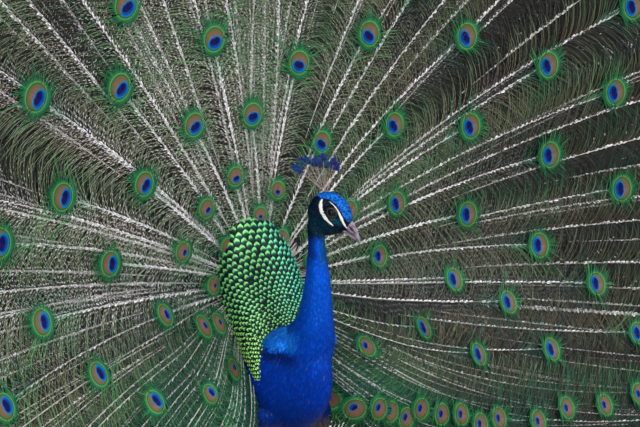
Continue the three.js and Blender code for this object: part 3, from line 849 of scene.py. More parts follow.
        # painted light: barbs are brightened towards -x and darkened towards +x and at the fan's outer edge
        shade = np.interp(place[:, 0], (-700, -120, 100, 450), (1.3, 1.2, 1.04, 0.74)) * np.interp(from_hub, (620, 1000), (1.0, 0.84))
        low_right = smooth((one.angle - 90) / 22) * smooth((from_hub - 200) / 130)
        low_left = smooth((-one.angle - 84) / 24) * smooth((from_hub - 200) / 130)
        ground = 0.36 + (0.62 * low_right + 0.2 * low_left) * (one.kind is Kind.EYED)
        # painted shade: barbs on the non-lead side of each shaft get 0.14 of the feather's light, as if unlit
        hair = np.where(lead, one.light, 0.14 * one.light) * (1 - 0.4 * low_right) * (1 - 0.5 * smooth((abs(one.angle) - 108) / 20))
        hair = hair + (0.95 - hair) * inner * 0.6
        hair = 0.3 + 0.7 * hair if one.kind is Kind.LOW else hair
        light = (ground if under else hair * shade) * rng.uniform(0.6, 1.15, count)
        fresh = self.greenness(one, to_tip, from_hub, rng)
        numbers = {"light": np.clip(light, 0, 1), "fresh": fresh, "gleam": gleam, "under": np.full(count, 1.0 if under else 0.0), "tick": tick}
        batch.add(
            points, quads, [(size - 3, size - 2, size - 1)],
            {"Lie": np.stack([length[:, None] * both / 100, np.broadcast_to(both, shape)], -1),
             "OFBake": 0.01 + 0.975 * root[:, None] + patch},
            {key: np.broadcast_to(values[:, None], shape) for key, values in numbers.items()},
        )

    def plumes(self) -> list[bpy.types.Object]:
        """The loose barbs of the whole train, a fine and a broad mesh for each field."""
        rng = np.random.default_rng(11)
        finish = PlumeFinish().make()
        made = []
        for name, (low, high) in self.fields.items():
            mine = [one for one in self.feathers if low <= one.angle < high]
            spots = np.concatenate([one.path for one in mine])
            field_box = np.array([spots.min(0) - 20, spots.max(0) + 20])
            for under, word in ((False, "plumes"), (True, "underplumes")):
                batch = Batch()
                for one in mine:
                    self.barbs(one, batch, field_box, under, rng)
                piece = batch.make(f"{word}_{name}", finish, soft=False)
                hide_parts(f"train_{name}")
                LOG.info("%s: %d feathers, %d triangles", piece.name, len(mine), batch.triangles())
                made.append(piece)
        return made

    def eye_lines(self, q: Array, u: Array) -> Array:
        """The curves of an eyespot's strands in millimetres, x to the tip of the feather.

        Args:
            q: which strand, 0 the lowest and 1 the one beside the tip.
            u: how far along it.

        Returns:
            Points by strand and step.
        """
        q, u = q[:, None, None], u[None, :, None]
        start = np.concatenate([-27 + 36 * q, 0 * q], axis=-1)
        turn = np.radians(60 - 60 * q)
        end_turn = np.radians(132 * (1 - q) ** 1.1)
        end = self.eye_radius * np.concatenate([np.cos(end_turn) + 0.08, 0.92 * np.sin(end_turn)], axis=-1)
        pull = 0.52 * np.linalg.norm(end - start, axis=-1, keepdims=True)
        middle = start + pull * np.concatenate([np.cos(turn), np.sin(turn)], axis=-1)
        return (1 - u) ** 2 * start + 2 * u * (1 - u) * middle + u**2 * end

    def eyespots(self) -> bpy.types.Object:
        """Close strands that carry the rings."""
        rng = np.random.default_rng(13)
        batch = Batch()
        eyed = [one for one in self.feathers if one.kind is not Kind.FORKED]
        steps = np.array([0.0, 0.2, 0.4, 0.58, 0.76, 0.9, 1.0])
        count = len(steps)
        bound = np.linspace(0, 1, self.eye_strips + 1)
        quads = [(2 * i, 2 * i + 1, 2 * i + 3, 2 * i + 2) for i in range(count - 1)]
        rows = -(-len(eyed) // self.eye_columns)
        for number, one in enumerate(eyed):
            place, way = one.read(np.array([one.length()]))
            for side in (-1.0, 1.0):
                low = self.eye_lines(bound[:-1], steps)
                high = self.eye_lines(bound[1:], steps)
                grow = 1 + (rng.normal(0, 0.12, (self.eye_strips, 1, 1)) + 0.3 * (rng.random((self.eye_strips, 1, 1)) < 0.25)) * steps[None, :, None] ** 3
                low, high = low * grow, high * grow
                middle = 0.5 * (low + high)
                narrow = np.interp(steps, (0, 0.58, 0.76, 0.9, 1.0), (1.08, 1.06, 0.7, 0.36, 0.08))[None, :, None]
                pair = np.stack([middle + (low - middle) * narrow, middle + (high - middle) * narrow], axis=2)
                pair = pair.reshape(self.eye_strips, -1, 2) * np.array([1.0, side])
                shape = pair * one.size
                ahead, across = heading(way[0]), heading(way[0] + 90)
                flat = place + (shape[..., :1] * ahead + shape[..., 1:] * across) * np.array([0.85, 1.02])
                dome = 2.4 * (1 - np.minimum((np.hypot(*np.moveaxis(pair, -1, 0)) / 30) ** 2, 1.6))
                flatter = 1 - bound[1:, None] ** 2
                ridge = (rng.uniform(-0.2, 0.2, (self.eye_strips, 1)) + np.tile([0.0, 0.3], count)) * flatter
                front = 8.0 if one.kind is Kind.LOW else 5.0
                points = self.fan.lay(flat, one.back - front - dome + ridge)
                cell = np.array([number % self.eye_columns, number // self.eye_columns])
                cells = np.array([self.eye_columns, rows])
                bake = (cell + 0.5 + 0.46 * pair / 42) / cells
                strand = np.tile([0.0, 1.0], count)[None] * np.ones((self.eye_strips, 1))
                strand[-1] = 0.0
                iris = 0.62 if one.kind is Kind.LOW else float(np.interp(one.length(), (60, 130, 200), (0.45, 0.6, 1.0)))
                batch.add(
                    points, quads if side > 0 else [tuple(reversed(x)) for x in quads], [],
                    {"Eye": 0.5 + pair / 100, "OFBake": bake},
                    {"strand": strand, "iris": np.full(points.shape[:2], iris),
                     "chance": np.broadcast_to(rng.random((self.eye_strips, 1)), points.shape[:2])},
                )
        made = batch.make("eyespots", EyeFinish().make(), soft=True)
        LOG.info("eyespots: %d, %d triangles", len(eyed), batch.triangles())
        return made

    def build(self) -> list[bpy.types.Object]:
        """All pieces of the train."""
        made = [self.quills(), *self.plumes(), self.eyespots()]
        for piece in made:
            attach(piece, "root")
        return made


# ---------------------------------------------------------------- the body's own tables
@dataclass(frozen=True)
class HeadFrame:
    """The head's own axes: towards the bill, to the crown and to its left side."""

    middle: tuple[float, float, float] = (16.0, -104.0, 611.0)
    yaw: float = math.radians(45)
    pitch: float = math.radians(38)

    def axes(self) -> Array:
        """Ahead, up and left as rows."""
        sy, cy, sp, cp = math.sin(self.yaw), math.cos(self.yaw), math.sin(self.pitch), math.cos(self.pitch)
        return np.array([[sy * cp, -cy * cp, -sp], [sy * sp, -cy * sp, cp], [cy, sy, 0.0]])

    def place(self, ahead: Array | float, up: Array | float, left: Array | float) -> Array:
        """Points in space for places on the head."""
        own = np.stack(np.broadcast_arrays(ahead, up, left), axis=-1).astype(float)
        return own @ self.axes() + np.array(self.middle)

    def read(self, points: Array) -> Array:
        """Places on the head (ahead, up, left) for points in space."""
        return (points - np.array(self.middle)) @ self.axes().T


HEAD = HeadFrame()
EYE = (5.2, 1.3)
CREAM_LINE = ((-17.9, 7.4), (-15.6, 2.0), (-11.2, -3.0), (-4.5, -7.6), (3.2, -10.6), (12.0, -12.2), (19.0, -12.8))
BROW_LINE = ((-7.0, 12.2), (1.4, 12.0), (9.6, 10.0), (16.0, 6.6), (22.4, 3.0), (30.0, -1.4), (37.0, -4.6))
CROWN_LINE = ((-32, -2), (-25.4, 6.6), (-18.2, 8.4), (-11.5, 12.6), (-5.5, 15.6), (5.7, 14.6), (14.3, 11.6), (24.9, 6.4), (38, 3.2))


@dataclass(frozen=True)
class Plumage:
    """The colours of the skin and its coat, by place, with a painted highlight on each shoulder lump and painted shadow
    in the fold under it.
    """

    cobalt: Colour = rgb(0, 92, 210)
    deep: Colour = rgb(0, 64, 174)
    dusk: Colour = rgb(0, 34, 96)
    night: Colour = rgb(3, 20, 26)
    teal: Colour = rgb(4, 84, 92)
    crown: Colour = rgb(26, 132, 240)
    lump_highlight: Colour = rgb(34, 144, 255)
    fold_shadow: Colour = rgb(22, 18, 84)
    belly: Colour = rgb(26, 26, 24)
    buff: Colour = rgb(132, 112, 86)
    rust: Colour = rgb(96, 68, 44)

    def at(self, points: Array) -> Array:
        """Linear colours for points in the design frame."""
        x, y, z = points.T
        tone = blend(self.dusk, self.deep, smooth((z - 255) / 90))
        tone = blend(tone, self.cobalt, smooth((z - 350) / 150))
        tone = blend(tone, self.teal, 0.8 * smooth((z - 522) / 18) * smooth((x + 8) / 14))
        tone = blend(tone, self.dusk, 0.7 * smooth((z - 530) / 18) * smooth((-2 - x) / 10))
        tone = blend(tone, self.night, smooth((z - 566) / 12))
        spread = np.hypot((abs(x) - 34) / 30, (y + 46) / 40)
        ahead_of = smooth((1.2 - spread) / 0.5)
        # painted highlight: bright blue over the top of each shoulder lump, where the light falls
        tone = blend(tone, self.lump_highlight, 0.85 * ahead_of * smooth((z - 396) / 8) * smooth((434 - z) / 14))
        # painted shadow: dark purple in the fold under each shoulder lump
        tone = blend(tone, self.fold_shadow, 0.6 * ahead_of * smooth((397 - z) / 8) * smooth((z - 366) / 24))
        side = smooth((abs(x) - 10) / 26) * smooth((330 - z) / 60)
        tone = blend(tone, self.belly, np.maximum(smooth((y + 34) / 46) * smooth((404 - z) / 20), smooth((y - 14) / 30)))
        tone = blend(tone, self.buff, 0.45 * smooth((y - 40) / 40) * smooth((z - 380) / 30))
        tone = blend(tone, self.belly, smooth((292 - z) / 40) * smooth((y + 52) / 30))
        tone = blend(tone, self.buff, side * smooth((286 - z) / 40) * smooth((y + 60) / 30))
        ahead, up, left = HEAD.read(points).T
        near = smooth((46 - np.linalg.norm(points - HEAD.place(-4, -1, 0), axis=-1)) / 12)
        head = blend(self.night, self.teal, 0.35 * smooth((-8 - up) / 14))
        patch = np.hypot((ahead - 20) / 11, (up + 5.0) / 5.2)
        head = blend(head, self.teal, 0.9 * smooth((1.3 - patch) / 0.8))
        edge = np.interp(ahead, *np.array(CROWN_LINE).T)
        top = smooth((up - edge + 0.5) / 1.6) * smooth((ahead + 37) / 8)
        top *= 1 - smooth((ahead - 33) / 4)
        head = blend(head, self.crown, top)
        return blend(tone, head, near)


def strip_share(points: Array, line: Sequence[tuple[float, float]], half: float) -> Array:
    """How far inside a band round a line on the face points are, 1 well inside."""
    ahead, up, left = HEAD.read(points).T
    spots = along(line, np.linspace(0, 1, 40))
    far = np.min(np.hypot(ahead[:, None] - spots[:, 0], up[:, None] - spots[:, 1]), axis=1)
    return smooth((half + 0.8 - far) / 1.2) * (abs(left) > 6)


@dataclass(frozen=True)
class SkinFinish:
    """The skin under the coat, in the coat's colours."""

    def make(self) -> bpy.types.Material:
        """Builds the material."""
        f = Finish("skin_under_coat")
        grain = f.noise(420, 3)
        colour = f.mix(grain.step(0.4, 0.75) * 0.5, f.tone("tone"), rgb(4, 10, 22))
        f.bump(grain, 0.5, 0.0008)
        return f.dress({"Base Color": colour, "Metallic": 0.25, "Roughness": 0.55})


@dataclass
class Skin:
    """One closed skin for trunk, neck, head and thighs, inside the solids by the coat's depth."""

    trunk: tuple[tuple[float, ...], ...] = (
        (-114, 352, 6, 8, 8), (-109, 352, 19, 34, 36), (-93, 351, 31, 56, 60), (-64, 350, 48, 73, 84),
        (-28, 348, 66, 79, 98), (12, 350, 78, 77, 96), (56, 358, 80, 72, 86), (96, 371, 71, 63, 70),
        (130, 387, 55, 51, 52), (158, 402, 35, 33, 32), (174, 410, 9, 9, 9),
    )
    neck: tuple[tuple[float, ...], ...] = (
        (0, -40, 372, 47, 52), (0, -66, 402, 41, 45), (0, -83, 432, 32, 35), (0, -89, 458, 27, 29),
        (0, -92, 486, 23.5, 25.5), (0, -93, 508, 20.5, 22.5), (0, -92, 528, 17.8, 19.6),
        (0, -91, 548, 15.2, 16.6), (0.3, -89.5, 566, 14.2, 15.4), (0.5, -88.5, 584, 14.6, 16),
        (2, -90, 600, 14.5, 16), (5, -92, 612, 13, 14),
    )
    head: tuple[tuple[float, ...], ...] = (
        (-30.5, 1, -8, 5), (-28.5, 9, -17, 10.5), (-24, 15.5, -27, 15), (-15, 22.8, -32, 18), (-5, 26.2, -34, 19),
        (5, 26.8, -35, 18.6), (14, 24.8, -35.5, 17), (21.5, 21.4, -33, 14.6), (28, 17.0, -26, 12.3), (33, 12.4, -18, 10),
        (37, 7.8, -13.5, 8),
    )
    thigh: tuple[tuple[float, ...], ...] = (
        (44, -4, 296, 34, 44), (47, 2, 262, 31, 38), (50, 12, 224, 22, 27), (52, 22, 188, 13.5, 15.5),
        (53, 29, 162, 8.6, 9.4), (53, 31, 154, 6.5, 7.2),
    )
    shoulder: tuple[float, float, float] = (33.0, -42.0, 408.0)
    voxel: float = 0.0023

    def axis_loft(self, bm: bmesh.types.BMesh, rows: Sequence[Sequence[float]], coat: float, steps: int, mirror: float = 1.0) -> None:
        """Lofts round sections that stand across an axis given by x, y, z, half width and half depth."""
        table = along(rows, np.linspace(0, 1, steps)) * np.array([mirror, 1, 1, 1, 1])
        ways = unit(np.gradient(table[:, :3], axis=0))
        rings = []
        for row, way in zip(table, ways):
            side = unit(np.cross(way, np.array([0.0, 1.0, 0.0])))
            rings.append(section(row[:3], side, np.cross(side, way), max(row[3] - coat, 1), max(row[4] - coat, 1)))
        ring_loft(bm, rings, 48)

    def build(self) -> bpy.types.Object:
        """Lofts, joins and smooths the skin and stores its colours."""
        bm = bmesh.new()
        x, y, z = np.eye(3)
        rings = []
        for row in along(self.trunk, np.linspace(0, 1, 48)):
            centre = np.array([0.0, row[0], row[1] + 0.5 * (row[3] - row[4])])
            rings.append(section(centre, x, z, max(row[2] - 5, 2), max(0.5 * (row[3] + row[4]) - 5, 2)))
        ring_loft(bm, rings, 64)
        self.axis_loft(bm, self.neck, 2.2, 60)
        axes, rings = HEAD.axes(), []
        for row in along(self.head, np.linspace(0, 1, 44)):
            centre = HEAD.place(row[0], 0.5 * (row[1] + row[2]), 0.0)
            rings.append(section(centre, axes[2], axes[1], max(row[3] - 0.7, 1.5), max(0.5 * (row[1] - row[2]) - 0.7, 1.5)))
        ring_loft(bm, rings, 48)
        for side in (-1.0, 1.0):
            self.axis_loft(bm, self.thigh, 5.0, 30, side)
            spot = Matrix.Translation((side * self.shoulder[0], self.shoulder[1], self.shoulder[2]))
            lean = Matrix.Rotation(math.radians(24 * side), 4, "Y") @ Matrix.Diagonal((30, 25, 14, 1))
            bmesh.ops.create_uvsphere(bm, u_segments=24, v_segments=16, radius=1.0, matrix=spot @ lean)
        rough = finish_mesh(bm, "skin_rough", SkinFinish().make())
        melt = rough.modifiers.new("melt", "REMESH")
        melt.mode = "VOXEL"
        melt.voxel_size = self.voxel
        melt.use_smooth_shade = True
        soften = rough.modifiers.new("soften", "SMOOTH")
        soften.factor = 0.5
        soften.iterations = 9
        graph = bpy.context.evaluated_depsgraph_get()
        mesh = bpy.data.meshes.new_from_object(rough.evaluated_get(graph))
        material = rough.data.materials[0]
        bpy.data.objects.remove(rough)
        made = bpy.data.objects.new("skin", mesh)
        mesh.name = "skin"
        bpy.context.scene.collection.objects.link(made)
        mesh.materials.clear()
        mesh.materials.append(material)
        points = self.read(mesh)
        points = self.settle(mesh, points)
        points = self.sink_sockets(points)
        mesh.vertices.foreach_set("co", ((points + SHIFT) * MM).astype(np.float32).ravel())
        mesh.update()
        tone = Plumage().at(points)
        store = mesh.attributes.new("tone", "FLOAT_COLOR", "POINT")
        store.data.foreach_set("color", np.concatenate([tone, np.ones((len(tone), 1))], 1).astype(np.float32).ravel())
        LOG.info("skin: %d faces", len(mesh.polygons))
        return made

    def read(self, mesh: bpy.types.Mesh) -> Array:
        """The mesh's points in the design frame, in millimetres."""
        co = np.empty(len(mesh.vertices) * 3, np.float32)
        mesh.vertices.foreach_get("co", co)
        return co.reshape(-1, 3).astype(float) / MM - SHIFT

    def settle(self, mesh: bpy.types.Mesh, points: Array) -> Array:
        """Eases the joins of neck, breast and thighs, but not the head and the shoulders."""
        ends = np.empty(len(mesh.edges) * 2, np.int32)
        mesh.edges.foreach_get("vertices", ends)
        a, b = ends.reshape(-1, 2).T
        count = np.bincount(ends, minlength=len(points))[:, None]
        x, y, z = points.T
        share = smooth((540 - z) / 60) * (1 - 0.975 * smooth((z - 384) / 8) * smooth((445 - z) / 12) * smooth((abs(x) - 10) / 8))
        for _ in range(45):
            total = np.stack([np.bincount(a, points[b, i], len(points)) + np.bincount(b, points[a, i], len(points)) for i in range(3)], -1)
            points = points + (share * 0.6)[:, None] * (total / count - points)
        return points

    def sink_sockets(self, points: Array) -> Array:
        """Sinks the skin round each eye, and lifts the brow over it."""
        ahead, up, left = HEAD.read(points).T
        far = np.hypot((ahead - EYE[0]) / 9.8, (up - EYE[1]) / 8.6)
        face = smooth((abs(left) - 8) / 5)
        sink = 3.6 * smooth((1.15 - far) / 0.45) * face
        brow = 1.0 * np.exp(-(((up - EYE[1] - 10.0) / 3.2) ** 2) - ((ahead - EYE[0] - 1) / 13) ** 2) * face
        moved = np.sign(left) * (brow - sink)
        return points + moved[:, None] * HEAD.axes()[2]


@dataclass
class Surface:
    """The finished skin as arrays, to plant on."""

    skin: Skin
    body: bpy.types.Object

    def __post_init__(self) -> None:
        """Reads the mesh."""
        mesh = self.body.data
        self.points = self.skin.read(mesh)
        mesh.calc_loop_triangles()
        corners = np.empty(len(mesh.loop_triangles) * 3, np.int32)
        mesh.loop_triangles.foreach_get("vertices", corners)
        self.tris = corners.reshape(-1, 3)
        normals = np.empty(len(mesh.vertices) * 3, np.float32)
        mesh.vertex_normals.foreach_get("vector", normals)
        self.normals = normals.reshape(-1, 3).astype(float)
        self.tree = BVHTree.FromPolygons(self.points.tolist(), self.tris.tolist())

    def scatter(self, gap: float, keep: Callable[[Array], Array], rng: np.random.Generator) -> tuple[Array, Array]:
        """Points about gap apart over the skin.

        Args:
            gap: the distance between neighbours.
            keep: says which points are wanted.
            rng: the source of chance.

        Returns:
            The points and their normals.
        """
        a, b, c = (self.points[self.tris[:, i]] for i in range(3))
        wanted = keep((a + b + c) / 3)
        area = 0.5 * np.linalg.norm(np.cross(b - a, c - a), axis=1) * wanted
        count = int(3.2 * area.sum() / gap**2)
        pick = rng.choice(len(area), count, p=area / area.sum())
        w = rng.dirichlet((1, 1, 1), count)[..., None]
        corner = self.tris[pick]
        spots = (self.points[corner] * w).sum(1)
        normals = unit((self.normals[corner] * w).sum(1))
        left = np.arange(count)
        for shift in (0.0, 0.5, 0.25):
            cell = np.floor(spots[left] / (0.92 * gap) + shift).astype(int)
            _, first = np.unique(cell, axis=0, return_index=True)
            left = left[np.sort(first)]
        return spots[left], normals[left]


def coat_lie(points: Array) -> Array:
    """The way the feathers lie at points of the body."""
    x, y, z = points.T
    down_neck = np.stack([0 * x, 0.25 * smooth((440 - z) / 60), -np.ones(len(x))], -1)
    back = np.stack([0.2 * np.sign(x) * smooth(abs(x) / 40), np.ones(len(x)), -0.35 * np.ones(len(x))], -1)
    down = np.stack([0 * x, 0.15 * np.ones(len(x)), -np.ones(len(x))], -1)
    way = blend(down_neck, back, smooth((y + 62) / 60) * smooth((430 - z) / 50))
    way = blend(way, down, smooth((285 - z) / 45))
    near = smooth((50 - np.linalg.norm(points - HEAD.place(-2, 0, 0), axis=-1)) / 16)
    rear = np.tile(-HEAD.axes()[0] - 0.15 * HEAD.axes()[1], (len(x), 1))
    return unit(blend(way, rear, near))


@dataclass
class Leaf:
    """The shape of one small feather, laid on the coat."""

    rows: tuple[float, ...] = (0.0, 0.45, 0.8)
    widths: tuple[float, ...] = (0.5, 1.0, 0.78)
    dome: float = 0.22

    def faces(self) -> tuple[list[tuple[int, ...]], list[tuple[int, ...]]]:
        """Quads and triangles of one leaf."""
        n = len(self.rows)
        quads = [(3 * r + k, 3 * r + k + 1, 3 * r + k + 4, 3 * r + k + 3) for r in range(n - 1) for k in range(2)]
        last = 3 * (n - 1)
        return quads, [(last, last + 1, 3 * n), (last + 1, last + 2, 3 * n)]

    def lay(
        self, roots: Array, normals: Array, ways: Array, length: Array, width: Array, lift: Array, sink: float = 0.3
    ) -> tuple[Array, Array]:
        """Points and lie maps of leaves at their roots.

        Args:
            roots: where they grow.
            normals: the way out of the skin.
            ways: the way they lie.
            length: of each.
            width: of each.
            lift: how far each tip stands off.
            sink: how far the roots are in the skin.

        Returns:
            Points and lie map, copies by vertices.
        """
        flat = unit(ways - normals * np.sum(ways * normals, -1, keepdims=True))
        across = np.cross(flat, normals)
        u = np.array([*np.repeat(self.rows, 3), 1.0])
        v = np.array([*np.tile([-1.0, 0.0, 1.0], len(self.rows)), 0.0])
        wide = np.array([*np.repeat(self.widths, 3), 0.0])
        rise = lift[:, None] * u * (1.6 - 0.6 * u) + 0.5 * self.dome * width[:, None] * wide * (1 - v**2)
        rise = rise + 0.5 * self.dome * width[:, None] * (u == 1) - sink * (u == 0)
        points = (
            roots[:, None]
            + flat[:, None] * (length[:, None] * u)[..., None]
            + across[:, None] * (0.5 * width[:, None] * wide * v)[..., None]
            + normals[:, None] * rise[..., None]
        )
        lie = np.stack(np.broadcast_arrays(u, 0.5 + 0.5 * v * wide), -1)
        return points, np.broadcast_to(lie, (len(roots), len(u), 2))


@dataclass(frozen=True)
class CoatFinish:
    """Small feathers with a gloss and a painted sheen towards each tip, darker at the rim."""

    name: str
    metal: float
    rough: float
    rim: float
    fleck: float = 0.35
    fleck_from: float = 0.0
    shade: Colour = rgb(2, 14, 52)
    sheen: Colour = rgb(30, 150, 250)
    lip: Colour = rgb(2, 8, 26)

    def make(self) -> bpy.types.Material:
        """Builds the material."""
        f = Finish(self.name)
        u, v = f.map("Lie")
        chance = f.number("chance")
        edge = ((v - 0.5).absolute() * 2).step(0.55, 1.0).most(u.step(0.82, 1.0))
        base = f.mix(chance.step(self.fleck_from, self.fleck_from + 0.5) * self.fleck, f.tone("tone"), self.shade)
        # painted sheen: the sheen colour is overlaid towards each leaf's tip
        shine = f.mix(u.step(0.35, 0.8) * 0.28, base, self.sheen, "OVERLAY")
        colour = f.mix(edge * self.rim, shine, self.lip)
        strands = (v * 60 + u * 8).wave() * 0.5 + 0.5
        f.bump(strands, 0.25, 0.0002)
        return f.dress({
            "Base Color": colour, "Metallic": self.metal, "Roughness": self.rough + 0.15 * chance,
            "Specular IOR Level": 0.06,
        })


BROWN_TINTS = {"shade": rgb(28, 22, 17), "sheen": rgb(160, 136, 112), "lip": rgb(16, 12, 9)}


@dataclass
class Coat:
    """The small feathers over the skin, in four fields."""

    surface: Surface
    leaf: Leaf = field(default_factory=Leaf)

    def chart(self, points: Array) -> Array:
        """Where points fall on the body's unwrap round an upright axis."""
        turn = np.arctan2(points[:, 0], 30 - points[:, 1]) / (2 * np.pi) + 0.5
        return np.stack([0.01 + 0.97 * turn, 0.01 + 0.97 * (points[:, 2] - 130) / 540], -1)

    def plant(
        self, name: str, gap: float, keep: Callable[[Array], Array], size: tuple[float, float, float], finish: bpy.types.Material, seed: int
    ) -> bpy.types.Object:
        """Covers one field.

        Args:
            name: of the piece.
            gap: between roots.
            keep: says which points belong to the field.
            size: length, width and lift of a leaf.
            finish: its material.
            seed: for chance.

        Returns:
            The piece.
        """
        rng = np.random.default_rng(seed)
        roots, normals = self.surface.scatter(gap, keep, rng)
        count = len(roots)
        ways = unit(coat_lie(roots) + rng.normal(0, 0.10, (count, 3)))
        length, width, lift = (s * rng.uniform(0.85, 1.15, count) for s in size)
        points, lie = self.leaf.lay(roots, normals, ways, length, width, lift)
        tone = Plumage().at(roots)
        chart = self.chart(roots)[:, None] + 0.003 * (lie - np.array([0.0, 0.5]))
        batch = Batch()
        shape = points.shape[:2]
        batch.add(
            points, *self.leaf.faces(), {"Lie": lie, "OFBake": chart},
            {"chance": np.broadcast_to(rng.random(count)[:, None], shape)},
            {"tone": np.broadcast_to(tone[:, None], (*shape, 3))},
        )
        made = batch.make(name, finish)
        LOG.info("%s: %d leaves, %d triangles", name, count, batch.triangles())
        return made

    def build(self) -> list[bpy.types.Object]:
        """All fields."""

        def head(p: Array) -> Array:
            ahead, up, left = HEAD.read(p).T
            bare = strip_share(p, CREAM_LINE, 2.2) + strip_share(p, BROW_LINE, 1.0) > 0.5
            eye = (np.hypot((ahead - EYE[0]) / 8.6, (up - EYE[1]) / 7.8) < 1) & (abs(left) > 8)
            return (np.linalg.norm(p - HEAD.place(-2, 0, 0), axis=-1) < 44) & (p[:, 2] > 566) & ~bare & ~eye & (ahead < 38)

        def neck(p: Array) -> Array:
            return (p[:, 2] > 428) & (np.linalg.norm(p - HEAD.place(-2, 0, 0), axis=-1) > 41)

        def breast(p: Array) -> Array:
            return (p[:, 2] <= 432) & (p[:, 2] > 270) & (p[:, 1] < 30)

        def rest(p: Array) -> Array:
            return (p[:, 2] <= 432) & ((p[:, 2] <= 274) | (p[:, 1] >= 28))

        blue = CoatFinish("blue_feather", 0.42, 0.46, 0.4).make()
        crown = CoatFinish("crown_feather", 0.4, 0.4, 1.0, 0.85, 0.3).make()
        dark = CoatFinish("body_feather", 0.1, 0.5, 0.3, **BROWN_TINTS).make()
        made = [
            self.plant("plumage_head", 1.55, head, (3.0, 2.2, 0.3), crown, 21),
            self.plant("plumage_neck", 2.1, neck, (6.0, 2.6, 0.5), blue, 22),
            self.plant("plumage_breast", 3.2, breast, (9.5, 4.2, 0.8), blue, 23),
            self.plant("plumage_body", 4.2, rest, (17.0, 5.0, 2.2), dark, 24),
        ]
        return made


# ---------------------------------------------------------------- head
@dataclass(frozen=True)
class BareSkinFinish:
    """Bare chalky face skin, finely pimpled."""

    def make(self) -> bpy.types.Material:
        """Builds the material."""
        f = Finish("bare_face_skin")
        spots = f.noise(700, 3)
        colour = f.mix(spots.step(0.35, 0.7) * 0.35, rgb(238, 240, 234), rgb(196, 204, 196))
        f.bump(spots, 0.6, 0.0005)
        return f.dress({"Base Color": colour, "Roughness": 0.6})


@dataclass(frozen=True)
class HornFinish:
    """Pinkish grey horn, with streaks along it and dark nostrils, the dark being painted shade in the openings."""

    name: str
    pale: Colour
    dark: Colour

    def make(self) -> bpy.types.Material:
        """Builds the material."""
        f = Finish(self.name)
        streak = f.noise(160, 4)
        colour = f.mix(streak.step(0.35, 0.72), self.pale, self.dark)
        # painted shade: the nostril openings are darkened
        colour = f.mix(f.number("nostril"), colour, rgb(24, 16, 22))
        f.bump(f.noise(380, 3), 0.25, 0.0005)
        return f.dress({"Base Color": colour, "Roughness": 0.36, "Coat Weight": 0.2})


